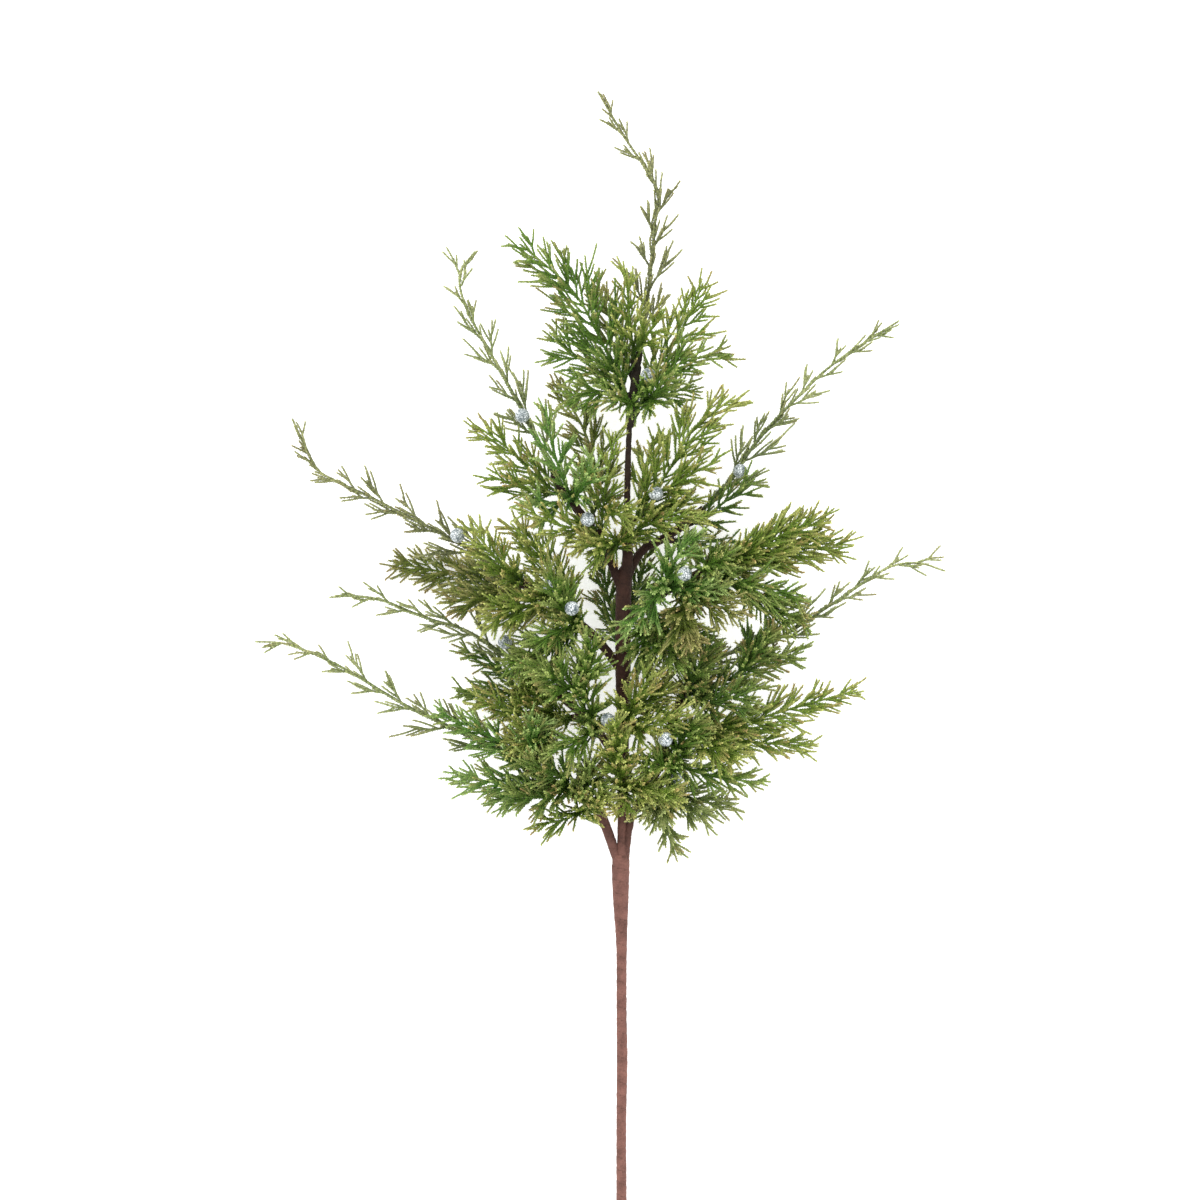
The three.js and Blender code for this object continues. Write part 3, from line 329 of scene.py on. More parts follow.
wire_line = {"points": wire_points, "girth": [WIRE_GIRTH] * len(wire_points), "age": (0, 1), "tint": 0.5}
wire_piece = bake("core_wire", [wire_line], wound_tree, {
    "Ring Spacing": 0.004, "Sides": 20, "Tape Pitch": 1.0, "Lap Height": 0.0, "Crinkle": 0.0,
    "Tape": wire_steel})
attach(wire_piece, "root")
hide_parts("stem_wire")

# Places of the sprays on the stem and its branches, each in a taped socket.
# Leaders are long slim shoots, fans are bushy, and tufts fork off the first line of their spray.
# A line gives its kind, its half width and the points that it passes, as in the part.
SPRAYS = [
    ("leader_top", "main", "leader", [
        ("leader", 25, [(25, 190, 59), (29, 216, 61), (33, 247, 61), (36, 280, 60), (38, 305, 59),
                        (28, 321, 58), (15, 341, 57), (0, 367, 57)])]),
    ("fan_top_left", "main", "green", [
        ("fan", 27, [(21.5, 164, 56.5), (5, 198, 68), (-16, 236, 76), (-50, 266, 80)]),
        ("fan", 19, [(15, 178, 60), (0, 186, 58), (-14, 196, 55), (-32, 212, 52)]),
        ("tuft", 16, [(16, 176, 60), (4, 172, 70), (-8, 170, 76), (-22, 170, 78)])]),
    ("fan_top_back", "main", "brown", [
        ("fan", 18, [(23.5, 180, 58), (14, 204, 48), (6, 226, 42), (-2, 248, 38)])]),
    ("fan_top_front", "main", "olive", [
        ("fan", 15, [(24.2, 186, 58.6), (21, 208, 72), (19, 228, 80), (18, 250, 84)]),
        ("fan", 13, [(22, 198, 66), (28, 204, 80), (34, 212, 92), (40, 222, 100)])]),
    ("fan_top_right", "main", "olive", [
        ("fan", 21, [(22.6, 172, 57.4), (42, 196, 52), (57, 220, 46), (68, 245, 42)])]),
    ("fan_top_side", "main", "green", [
        ("fan", 17, [(20.2, 154, 55.8), (38, 180, 66), (58, 193, 72), (84, 196, 76)]),
        ("fan", 14, [(30, 168, 61), (40, 170, 56), (50, 174, 52), (62, 179, 48)]),
        ("tuft", 15, [(26, 163, 59), (24, 164, 72), (16, 166, 84), (4, 170, 92)]),
        ("tuft", 15, [(30, 168, 61), (34, 168, 76), (38, 172, 86), (42, 182, 92)])]),
    ("leader_upper_left", "upper_left", "leader", [
        ("leader", 24, [(-25, 112, 60), (-44, 150, 62), (-59, 178, 62), (-77, 210, 61), (-87, 230, 60),
                        (-90, 250, 59), (-80, 264, 58)])]),
    ("fan_upper_left_outer", "upper_left", "olive", [
        ("fan", 19, [(-18, 103, 58.5), (-38, 116, 52), (-58, 136, 46), (-80, 152, 42)]),
        ("fan", 15, [(-26, 107, 56), (-40, 108, 62), (-54, 112, 66), (-71, 119, 68)])]),
    ("fan_upper_left_front", "upper_left", "blue", [
        ("fan", 14, [(-12, 95, 57.5), (-22, 114, 76), (-30, 138, 86), (-34, 163, 90)]),
        ("fan", 14, [(-16, 104, 66), (-12, 108, 84), (-8, 116, 96), (-4, 128, 104)]),
        ("tuft", 15, [(-17, 104, 67), (-26, 98, 70), (-36, 96, 74), (-48, 104, 76)])]),
    ("fan_upper_left_back", "upper_left", "brown", [
        ("fan", 20, [(-5, 85, 55.5), (-1, 116, 40), (-9, 148, 34), (-28, 182, 30)])]),
    ("fan_upper_left_rise", "upper_left", "olive", [
        ("fan", 14, [(1, 76, 53.5), (3, 100, 64), (6, 122, 70), (11, 146, 72)]),
        ("fan", 14, [(2, 86, 57), (-14, 84, 74), (-30, 88, 84), (-50, 97, 88)]),
        ("tuft", 13, [(3, 98, 63), (8, 94, 76), (14, 92, 84), (22, 94, 88)])]),
    ("fan_upper_left_cross", "upper_left", "olive", [
        ("fan", 12, [(6, 68, 51.6), (22, 82, 66), (44, 91, 74), (70, 91, 78)]),
        ("tuft", 15, [(15, 76, 60), (4, 72, 68), (-4, 74, 76), (-14, 76, 80)])]),
    ("leader_upper_right", "upper_right", "leader", [
        ("leader", 24, [(62, 92, 39), (85, 115, 42), (100, 138, 45), (120, 161, 49), (150, 190, 53),
                        (172, 205, 55), (194, 219, 56)])]),
    ("fan_upper_right_light", "main", "olive", [
        ("fan", 24, [(17.9, 84, 50), (34, 106, 58), (47, 124, 62), (58, 146, 64), (88, 170, 64)]),
        ("fan", 14, [(34, 106, 58), (48, 112, 68), (60, 120, 74), (78, 128, 78)]),
        ("fan", 13, [(27, 97, 55), (28, 114, 44), (32, 130, 37), (40, 148, 33)]),
        ("tuft", 15, [(24, 93, 53), (36, 92, 56), (48, 98, 58), (64, 106, 62)])]),
    ("fan_upper_right_dark", "upper_right", "dark", [
        ("fan", 15, [(54, 86, 39.4), (68, 92, 50), (84, 104, 56), (101, 117, 60)])]),
    ("fan_upper_right_low", "upper_right", "dark", [
        ("fan", 16, [(42, 78, 40.3), (62, 76, 22), (86, 71, 4), (112, 67, 0.4)])]),
    ("fan_mid_right_outer", "mid_right", "olive", [
        ("fan", 25, [(66, 56, 59), (94, 65, 62), (124, 71, 62), (158, 73, 60)]),
        ("fan", 17, [(82, 61.5, 61), (98, 72, 70), (122, 81, 74), (148, 91, 76)])]),
    ("fan_mid_right_lower", "mid_right", "green", [
        ("fan", 18, [(58, 52, 58), (80, 51, 70), (103, 46, 74), (130, 39, 76)]),
        ("tuft", 15, [(71, 51.5, 66), (69, 59, 76), (73, 63, 84), (83, 65, 88)]),
        ("tuft", 14, [(89, 49, 72), (103, 39, 66), (117, 31, 64), (134, 25, 64)])]),
    ("fan_mid_right_front", "mid_right", "blue", [
        ("fan", 16, [(42, 42, 54), (44, 54, 76), (50, 66, 88), (62, 80, 94)]),
        ("fan", 14, [(43, 50, 69), (36, 40, 84), (26, 28, 92), (14, 17, 96)]),
        ("tuft", 15, [(43, 48, 66), (54, 44, 74), (66, 44, 80), (80, 48, 84)])]),
    ("fan_mid_right_brown", "mid_right", "brown", [
        ("fan", 15, [(49, 47, 56), (61, 40, 72), (75, 35, 80), (93, 28, 84)]),
        ("tuft", 16, [(57, 42.5, 68), (54, 33, 80), (55, 21, 86), (60, 9, 88)])]),
    ("fan_mid_right_under", "mid_right", "green", [
        ("fan", 15, [(30, 34, 50), (46, 22, 42), (62, 13, 38), (80, 6, 36)]),
        ("tuft", 17, [(40, 26, 45), (42, 16, 58), (46, 6, 66), (52, -6, 72)]),
        ("tuft", 16, [(38, 28, 46), (30, 16, 56), (28, 4, 62), (30, -10, 64)])]),
    ("leader_mid_left", "mid_left", "leader", [
        ("leader", 24, [(-52, 51, 53), (-74, 65, 56), (-98, 79, 57), (-135, 98, 57), (-158, 110, 56),
                        (-181, 121, 54), (-193, 143, 53), (-199, 156, 52)])]),
    ("fan_mid_left_tuft", "mid_left", "olive", [
        ("fan", 15, [(-44, 45, 52.4), (-58, 56, 68), (-70, 70, 76), (-82, 86, 80)])]),
    ("fan_mid_left_thin", "mid_left", "brown", [
        ("fan", 20, [(-36, 39.5, 51.6), (-66, 48, 26), (-100, 56, 5), (-136, 63, 0.4)]),
        ("fan", 15, [(-50, 43, 41), (-64, 40, 46), (-82, 38, 48), (-102, 39, 48)])]),
    ("fan_mid_left_rise", "mid_left", "olive", [
        ("fan", 18, [(-16, 25, 49), (-24, 46, 62), (-36, 66, 68), (-56, 87, 72)]),
        ("tuft", 17, [(-22, 40, 58), (-40, 36, 66), (-56, 32, 70), (-72, 26, 72)])]),
    ("fan_mid_left_front", "mid_left", "green", [
        ("fan", 16, [(-6, 17.5, 47.4), (-18, 26, 70), (-26, 42, 86), (-32, 60, 94)]),
        ("fan", 13, [(-14, 23, 62), (-22, 20, 78), (-30, 16, 86), (-42, 11, 90)]),
        ("tuft", 16, [(-12, 22, 60), (-26, 10, 62), (-42, 2, 64), (-58, -4, 66)])]),
    ("leader_low_mid_left", "centre_left", "leader", [
        ("leader", 23, [(-32, -19, 30), (-65, 4, 33), (-86, 18, 36), (-115, 27, 39), (-138, 37, 40),
                        (-160, 41, 40), (-175, 40, 40)])]),
    ("fan_centre_left_dark", "centre_left", "dark", [
        ("fan", 14, [(-24, -25, 30.5), (-46, -24, 22), (-68, -22, 18), (-93, -23, 16)]),
        ("fan", 9, [(-46, -24, 22), (-58, -12, 26), (-72, -2, 28), (-91, 5, 28)])]),
    ("fan_centre_left_olive", "centre_left", "olive", [
        ("fan", 17, [(-10, -38, 31.7), (-32, -40, 44), (-54, -34, 50), (-80, -26, 54)]),
        ("tuft", 15, [(-24, -40, 40), (-36, -28, 46), (-44, -16, 48), (-50, -2, 48)]),
        ("tuft", 16, [(-30, -40, 43), (-34, -50, 54), (-44, -54, 60), (-60, -54, 62)])]),
    ("fan_centre_front", "centre_left", "green", [
        ("fan", 15, [(2, -51, 33.4), (-4, -40, 58), (-8, -22, 72), (-12, 2, 78)]),
        ("fan", 14, [(-2, -44, 50), (-8, -50, 68), (-18, -56, 76), (-32, -58, 80)]),
        ("tuft", 16, [(-7, -26, 70), (-18, -18, 80), (-30, -10, 86), (-44, -2, 88)]),
        ("tuft", 14, [(-9, -16, 73), (-6, -6, 84), (-4, 4, 90), (-6, 14, 92)])]),
    ("fan_centre_olive", "main", "olive", [
        ("fan", 16, [(16, -44, 38.5), (18, -38, 60), (24, -24, 74), (36, -8, 80)]),
        ("fan", 14, [(17, -40, 52), (26, -44, 66), (38, -42, 74), (54, -34, 78)]),
        ("tuft", 15, [(20, -33, 65), (30, -28, 62), (40, -22, 60), (48, -14, 56)])]),
    ("fan_centre_low", "main", "olive", [
        ("fan", 13, [(15.8, -86, 34.2), (15, -82, 54), (12, -72, 68), (4, -58, 78)]),
        ("fan", 9, [(15, -84, 46), (18, -88, 58), (18, -92, 66), (15, -100, 72)]),
        ("tuft", 16, [(15, -83, 50), (26, -82, 60), (38, -84, 66), (52, -88, 68)]),
        ("tuft", 14, [(13, -76, 62), (14, -64, 72), (12, -52, 80), (10, -40, 86)])]),
    ("fan_centre_back", "main", "dark", [
        ("fan", 15, [(16, 4, 43), (10, 24, 24), (5, 46, 16), (2, 68, 13)]),
        ("fan", 14, [(11, 20, 28), (20, 34, 20), (28, 54, 16), (32, 78, 14)])]),
    ("leader_low_mid_right", "low_right", "leader", [
        ("leader", 24, [(56, -20, 42), (76, 0, 44), (116, 13, 47), (138, 27, 48), (158, 40, 49),
                        (185, 58, 49), (205, 63, 48), (225, 57.5, 47)])]),
    ("fan_low_right_inner", "low_right", "dark", [
        ("fan", 15, [(52, -32, 41.6), (72, -20, 54), (98, -6, 60), (132, 5, 62)]),
        ("fan", 14, [(60, -27, 47), (74, -28, 64), (88, -24, 72), (107, -16, 76)]),
        ("tuft", 16, [(58, -28, 46), (60, -14, 60), (66, -2, 66), (74, 10, 68)]),
        ("tuft", 15, [(92, -9, 59), (98, 2, 66), (104, 10, 70), (114, 18, 72)])]),
    ("fan_low_right_outer", "low_right", "olive", [
        ("fan", 17, [(47, -46, 41.2), (80, -45, 50), (118, -34, 55), (167, -20, 56)]),
        ("fan", 14, [(66, -46, 47), (88, -52, 44), (110, -55, 40), (139, -57, 36)]),
        ("tuft", 15, [(60, -46, 45), (68, -54, 58), (78, -60, 64), (90, -64, 66)])]),
    ("fan_low_right_side", "low_right", "green", [
        ("fan", 13, [(41.5, -62, 39.5), (60, -72, 46), (82, -77, 48), (107, -81, 48)]),
        ("tuft", 16, [(50, -67, 43), (52, -56, 58), (58, -46, 66), (66, -36, 70)]),
        ("tuft", 15, [(52, -68, 44), (44, -70, 60), (36, -70, 68), (28, -66, 72)])]),
    ("fan_low_right_hanging", "low_right", "brown", [
        ("fan", 14, [(30, -88, 35.4), (50, -89, 32), (68, -94, 28), (90, -96, 26)]),
        ("fan", 11, [(40, -88, 34), (41, -100, 42), (44, -112, 46), (52, -127, 48)]),
        ("fan", 10, [(50, -89, 32), (56, -95, 38), (63, -100, 40), (71, -106, 40)]),
        ("tuft", 15, [(46, -89, 33), (40, -94, 48), (34, -96, 58), (26, -98, 64)])]),
    ("leader_low_left", "low_left", "leader", [
        ("leader", 24, [(-42, -74, 39), (-66, -60, 42), (-92, -47, 44), (-125, -31, 45), (-145, -19, 45),
                        (-165, -7, 44), (-188, 4, 43), (-210, 11, 42), (-224, 11, 42)])]),
    ("fan_low_left_outer", "low_left", "blue", [
        ("fan", 14, [(-26, -83.5, 37.8), (-48, -84, 46), (-70, -80, 50), (-95, -76, 52)]),
        ("fan", 12, [(-38, -84.5, 42.6), (-48, -91, 38), (-58, -93, 36), (-72, -93, 34)])]),
    ("fan_low_left_lower", "low_left", "olive", [
        ("fan", 10, [(-6, -96, 35), (-18, -103, 42), (-28, -107, 44), (-41, -108, 46)]),
        ("tuft", 15, [(-14, -101, 40), (-6, -96, 52), (0, -90, 60), (4, -88, 70)])]),
    ("fan_low_left_upper", "low_left", "blue", [
        ("fan", 15, [(-34, -78.8, 38.4), (-52, -62, 54), (-74, -48, 60), (-103, -35, 64)]),
        ("tuft", 16, [(-42, -71, 45), (-44, -60, 60), (-42, -50, 68), (-38, -40, 72)])]),
    ("fan_low_left_inner", "low_left", "dark", [
        ("fan", 16, [(-13, -91.2, 36.2), (-20, -80, 58), (-32, -72, 72), (-50, -64, 80)]),
        ("tuft", 15, [(-16, -86, 46), (-8, -82, 60), (-2, -76, 68), (-6, -66, 74)]),
        ("tuft", 16, [(-18, -83, 52), (-30, -88, 60), (-42, -90, 64), (-56, -88, 66)])]),
]
ROUTE_STEP = 18
CURVE_STEPS = 10
SOCKET_DEPTH = 9
STALK_FOOT = 3.2


def line_length(line):
    """Length of a line of straight spans."""
    return sum((b - a).length for a, b in zip(line, line[1:]))


def spot_on(line, distance):
    """Finds the point and direction at a distance along a line."""
    for i in range(1, len(line)):
        span = (line[i] - line[i - 1]).length
        if distance <= span or i == len(line) - 1:
            along = (line[i] - line[i - 1]).normalized()
            return line[i - 1] + along * distance, along
        distance -= span


def even_line(points, step):
    """Spaces points evenly along a smooth curve."""
    dense = [Vector(row) for row in smooth_line(points, CURVE_STEPS)]
    length = line_length(dense)
    count = max(2, math.floor(length / step + 0.5))
    return [spot_on(dense, length * i / count)[0] for i in range(count + 1)]


def nearest_on(line, target):
    """Finds the point of a line nearest to a target."""
    found = []
    for a, b in zip(line, line[1:]):
        span = b - a
        share = max(0.0, min(1.0, (target - a).dot(span) / span.length_squared))
        found.append(a + span * share)
    return min(found, key=lambda spot: (spot - target).length)


stem_routes = {"main": MAIN_STEM, **BRANCHES}
holders = {name: [Vector(row[:3]) for row in rows] for name, rows in stem_routes.items()}
routes, sockets = {}, []
for name, holder, shade, lines in SPRAYS:
    routes[name] = []
    for order, (kind, spread, path) in enumerate(lines):
        carrier = routes[name][0] if order else holders[holder]
        start = nearest_on(carrier, Vector(path[0]))
        route = even_line([list(start), *path[1:]], ROUTE_STEP)
        if order == 0:
            heading = (route[1] - route[0]).normalized()
            sockets.append((route[0].copy(), route[0] + heading * SOCKET_DEPTH))
            route[0] = route[0] + heading * STALK_FOOT
        routes[name].append(route)

# Berries: frosted round balls with a small nub at the free end, each pushed on a short moulded stalk.
# The frost lies in pale patches over a dark ball, with fine cracks through it.
# Their places are the part's own; each stalk grows from the spray that carries its berry.
BERRIES = [
    ("fan_mid_right_front", (55, 55, 86)), ("fan_mid_left_front", (-17, 33, 88)),
    ("leader_upper_right", (92, 122, 53)), ("leader_low_mid_left", (-61, 11, 42)),
    ("fan_centre_front", (6, -39, 70)), ("fan_centre_olive", (43, -51, 78)),
    ("fan_top_side", (32, 183, 73)), ("fan_upper_left_rise", (-7, 90, 80)),
    ("leader_upper_left", (-49, 157, 72)), ("fan_upper_right_light", (37, 107, 68)),
    ("leader_mid_left", (-91, 80, 66)), ("fan_centre_left_olive", (-51, -13, 41)),
    ("fan_low_right_side", (50, -78, 51)), ("fan_mid_left_rise", (-31, 47, 72)),
]
BERRY_RADIUS = 4.75
BERRY_RINGS = 17
BERRY_SIDES = 26
FROST_ROOM = 0.1
PEG_DEPTH = 2.2
DENT_DEPTH = 0.16
DENT_SIZE = 1.7
DENT_SHIFT = 3.1
# Height and half angle of the nub at the free end, the dimple at the stalk and the groove round the nub.
NUB = (0.45, 0.17)
DIMPLE = (0.5, 0.26)
GROOVE = (0.18, 0.12)
GROOVE_ANGLE = 0.36
berry_frost = bpy.data.materials.new("frosted_berry")
berry_frost.use_nodes = True
frost_nodes = berry_frost.node_tree
frost_shader = frost_nodes.nodes["Principled BSDF"]
frost_place = put(frost_nodes, "ShaderNodeTexCoord")
frost_patches = put(frost_nodes, "ShaderNodeTexNoise",
                    {"Vector": frost_place.outputs["Object"], "Scale": 260.0, "Detail": 6.0,
                     "Roughness": 0.65})
frost_cracks = put(frost_nodes, "ShaderNodeTexVoronoi",
                   {"Vector": frost_place.outputs["Object"], "Scale": 620.0}, feature="DISTANCE_TO_EDGE")
frost_crack_mask = remap(frost_nodes, frost_cracks.outputs["Distance"], given=(0.02, 0.14))
frost_patch_mask = remap(frost_nodes, frost_patches.outputs["Fac"], given=(0.34, 0.54))
frost_amount = maths(frost_nodes, "MULTIPLY", frost_patch_mask.outputs[0], frost_crack_mask.outputs[0])
frost_colour = put(frost_nodes, "ShaderNodeMix",
                   {"Factor": frost_amount.outputs[0], 6: (0.055, 0.090, 0.100, 1), 7: (0.88, 0.93, 0.95, 1)},
                   data_type="RGBA")
frost_nodes.links.new(frost_colour.outputs[2], frost_shader.inputs["Base Color"])
frost_rough = remap(frost_nodes, frost_amount.outputs[0], wanted=(0.35, 0.85))
frost_nodes.links.new(frost_rough.outputs[0], frost_shader.inputs["Roughness"])
frost_bump = put(frost_nodes, "ShaderNodeBump",
                 {"Height": frost_amount.outputs[0], "Strength": 0.5, "Distance": 0.0003})
frost_nodes.links.new(frost_bump.outputs[0], frost_shader.inputs["Normal"])


def berry_corner(ring, step):
    """Number of a berry's corner: one at each end, and a ring of them between."""
    if ring == 0:
        return 0
    if ring == BERRY_RINGS:
        return 1 + (BERRY_RINGS - 1) * BERRY_SIDES
    return 1 + (ring - 1) * BERRY_SIDES + step % BERRY_SIDES


def swell(form, angle):
    """Height of a small round form at an angle from its middle."""
    return form[0] * math.exp(-(angle / form[1]) ** 2)


pegs = {}
for order, (carrier, place) in enumerate(BERRIES):
    centre = Vector(place)
    footings = [nearest_on(route, centre) for route in routes[carrier]]
    root = min(footings, key=lambda spot: (spot - centre).length)
    heading = (centre - root).normalized()
    pegs.setdefault(carrier, []).append((root, centre + heading * (PEG_DEPTH - BERRY_RADIUS)))
    berry_name = "berry_%02d" % (order + 1)
    side = heading.orthogonal().normalized()
    other = heading.cross(side)
    corners, faces = [], []
    for ring in range(BERRY_RINGS + 1):
        polar = math.pi * ring / BERRY_RINGS
        for step in range(BERRY_SIDES if 0 < ring < BERRY_RINGS else 1):
            turn = 2 * math.pi * step / BERRY_SIDES
            around = side * math.cos(turn) + other * math.sin(turn)
            way = heading * -math.cos(polar) + around * math.sin(polar)
            dent = DENT_DEPTH * noise.noise(way * DENT_SIZE + Vector((order * DENT_SHIFT, 0, 0)))
            height = dent + swell(NUB, math.pi - polar) - swell(DIMPLE, polar)
            height -= swell(GROOVE, math.pi - polar - GROOVE_ANGLE)
            corners.append((centre + way * (BERRY_RADIUS - FROST_ROOM + height)) * 0.001)
    for ring in range(BERRY_RINGS):
        for step in range(BERRY_SIDES):
            face = [berry_corner(ring, step), berry_corner(ring, step + 1),
                    berry_corner(ring + 1, step + 1), berry_corner(ring + 1, step)]
            faces.append(list(dict.fromkeys(face)))
    berry_mesh = bpy.data.meshes.new("frosted_" + berry_name)
    berry_mesh.from_pydata(corners, [], faces)
    berry_mesh.polygons.foreach_set("use_smooth", [True] * len(faces))
    berry_mesh.materials.append(berry_frost)
    berry = bpy.data.objects.new("frosted_" + berry_name, berry_mesh)
    bpy.context.scene.collection.objects.link(berry)
    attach(berry, "root")
    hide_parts(berry_name)

# Taped sockets: a few turns of the same paper tape that bind the foot of each spray to its branch.
# Each is a short sleeve from inside the branch to the bare foot of the spray.
SOCKET_GIRTH = (2.3, 2.35)
SOCKET_STEPS = 6


def twig_line(points, girth, age, tint):
    """One line of a skeleton, whose girth runs evenly from its foot to its tip."""
    count = len(points) - 1
    thick, thin = girth
    return {"points": points, "girth": [thick + (thin - thick) * i / count for i in range(count + 1)],
            "age": age, "tint": tint}


socket_lines = []
for root, mouth in sockets:
    socket_points = [root.lerp(mouth, i / SOCKET_STEPS) for i in range(SOCKET_STEPS + 1)]
    socket_lines.append(twig_line(socket_points, SOCKET_GIRTH, (0, 1), 0.5))
socket_form = {**TAPE_FORM, "Sides": 14, "Tape Pitch": 0.005}
socket_piece = bake("taped_sockets", socket_lines, wound_tree, socket_form)
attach(socket_piece, "root")
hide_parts("stem_taped")

# Moulded juniper sprays: soft plastic twigs covered in small overlapping scale leaves in crossed pairs.
# They are moulded in a few shades, the dark one being painted shade, with paler and partly dried tips, and
# pushed into their sockets.
# The shoots grow by the part's own rule, so every spray stays where its solid is; finer twigs fill it.
RESTING_SPRAYS = ("fan_upper_right_low", "fan_mid_left_thin")
RESTING_HEIGHT = 0.45
CLEAR_HEIGHT = 2.4
GROWTH = {
    "fan": {
        "pitch": 6.4, "start": 10, "bare_tip": 3, "wide": 38, "narrow": 22, "tilt": 24, "stalk": 1.2,
        "twiglet_pitch": 5.5, "twiglet_angle": 14, "spacing": 3.6, "thinning": 0.9, "fine_angle": 9,
        "filler_pitch": 3.0, "filler_start": 4, "filler_reach": 0.9, "filler_angle": 32,
        "filler_crowding": 1.6},
    "tuft": {
        "pitch": 6.4, "start": 6, "bare_tip": 3, "wide": 46, "narrow": 26, "tilt": 45, "stalk": 1.2,
        "twiglet_pitch": 5.5, "twiglet_angle": 14, "spacing": 3.2, "thinning": 0.4, "fine_angle": 11,
        "filler_pitch": 1.9, "filler_start": 0, "filler_reach": 0.95, "filler_angle": 38,
        "filler_crowding": 1.1},
    "leader": {
        "pitch": 12, "start": 17, "bare_tip": 10, "wide": 27, "narrow": 18, "tilt": 30, "stalk": 1.75,
        "twiglet_pitch": 6.5, "twiglet_angle": 11, "spacing": 9, "thinning": 0, "fine_angle": 9,
        "filler_pitch": 8, "filler_start": 4, "filler_reach": 0.6, "filler_angle": 11,
        "filler_crowding": 1.5},
}
# Inner, body, tip and dried colours of each shade of plastic; the inner colour is painted shade inside the
# spray, and the tip colour carries a painted highlight over the paler tip plastic.
SHADES = {
    "leader": ((0.127, 0.171, 0.057), (0.308, 0.366, 0.140), (0.540, 0.581, 0.267), (0.418, 0.374, 0.171)),
    "leader_grey": ((0.105, 0.123, 0.044), (0.247, 0.271, 0.108), (0.443, 0.460, 0.201),
                    (0.363, 0.314, 0.149)),
    "sage": ((0.075, 0.128, 0.026), (0.232, 0.318, 0.078), (0.490, 0.560, 0.205), (0.445, 0.385, 0.160)),
    "green": ((0.047, 0.114, 0.011), (0.146, 0.291, 0.031), (0.409, 0.508, 0.138), (0.408, 0.343, 0.118)),
    # The dark shade is the green made about a fifth darker, as painted shade for the sprays that lie at the
    # back and inside the bunch.
    "dark": ((0.040, 0.092, 0.011), (0.116, 0.230, 0.029), (0.345, 0.429, 0.110), (0.365, 0.269, 0.095)),
    "olive": ((0.064, 0.130, 0.013), (0.212, 0.336, 0.036), (0.535, 0.580, 0.161), (0.510, 0.382, 0.134)),
    "brown": ((0.057, 0.102, 0.012), (0.180, 0.244, 0.033), (0.443, 0.439, 0.145), (0.416, 0.312, 0.128)),
    "blue": ((0.047, 0.132, 0.017), (0.144, 0.322, 0.046), (0.424, 0.571, 0.179), (0.433, 0.413, 0.126)),
}
# Sprays moulded in a greyer plastic than the others of their tone.
GREYER_SPRAYS = {"leader_top": "leader_grey", "leader_mid_left": "leader_grey",
                 "fan_low_right_hanging": "sage"}
# Sprays from this height up the stem are thinner than those below it; leaders are as the rule gives.
UPPER_SPRAYS_FROM = 74
UPPER_FULLNESS = 0.72
LOWER_FULLNESS = 1.28
# Seeds: each spray, line, shoot and filler has a run of draws of its own.
DRAW_FACTOR = 16807
DRAW_RANGE = 2147483647
FIRST_SEED = 70001
SPRAY_SEED_STEP = 9973
LINE_SEED_STEP = 4001
SHOOT_SEED_STEP = 613
FINE_SEED_SHIFT = 307
FILLER_SEED_STEP = 389
FILLER_SEED_SHIFT = 53
# Outline of a spray, as shares of its half width.
LEADER_TIP_LOSS = 0.68
FAN_WIDEST = 0.35
FAN_BASE_WIDTH = 0.8
FAN_TIP_LOSS = 0.62
FAN_TIP_CURVE = 1.3
# Side shoots and their twiglets: millimetres, degrees and shares of a shoot.
SPACING_SPREAD = 0.4
LENGTH_SPREAD = 0.5
ANGLE_SPREAD = 14
SHORTEST_SHOOT = 7.0
TWIGLET_FROM = 0.25
TWIGLET_RUN = 0.65
TWIGLET_ANGLE_SPREAD = 16
TWIGLET_LIFT = 35
TWIGLET_LENGTH = 7
TWIGLET_SHARE = 0.55
# Finer twigs between the twiglets, and fillers round the line.
FINE_FROM = 0.12
FINE_RUN = 0.83
FINE_ANGLE_SPREAD = 20
FINE_LIFT = 75
FINE_LENGTH = 6.5
FINE_SHARE = 0.5
FILLER_ANGLE_LEAST = 0.7
FILLER_ANGLE_SPREAD = 0.6
FILLER_LENGTH_LEAST = 0.6
FILLER_LENGTH_SPREAD = 0.5
# Girths from foot to tip, and how far a twig bows.
SHOOT_GIRTH = (1.08, 1.0)
TWIGLET_GIRTH = (1.02, 0.94)
PEG_GIRTH = (0.85, 0.8)
STALK_SWELL = 1.12
SHOOT_BOW = 0.1
TWIGLET_BOW = 0.06
TINT_KEPT = 0.6


def draws(seed):
    """Gives a repeatable run of shares between 0 and 1, the same as the part's own."""
    state = seed

    def following():
        nonlocal state
        state = (state * DRAW_FACTOR) % DRAW_RANGE
        return state / DRAW_RANGE
    following()
    following()
    return following


def outline(kind, share):
    """Share of the half width that a side shoot reaches, as in the part."""
    if kind == "leader":
        return 1 - LEADER_TIP_LOSS * share
    if share < FAN_WIDEST:
        return FAN_BASE_WIDTH + (1 - FAN_BASE_WIDTH) * share / FAN_WIDEST
    return 1 - FAN_TIP_LOSS * ((share - FAN_WIDEST) / (1 - FAN_WIDEST)) ** FAN_TIP_CURVE


def uneven(draw):
    """A length that is a little longer or shorter than the rule gives."""
    return 1 - LENGTH_SPREAD / 2 + LENGTH_SPREAD * draw()


def swing(draw, degrees):
    """An angle up to so many degrees either way."""
    return math.radians((draw() * 2 - 1) * degrees)


def bowed(root, tip, push, steps):
    """A twig that leaves its root a little wide and swings forward to its tip."""
    middle = (root + tip) / 2 + push
    shares = [i / steps for i in range(steps + 1)]
    return [root * (1 - t) ** 2 + middle * 2 * t * (1 - t) + tip * t ** 2 for t in shares]


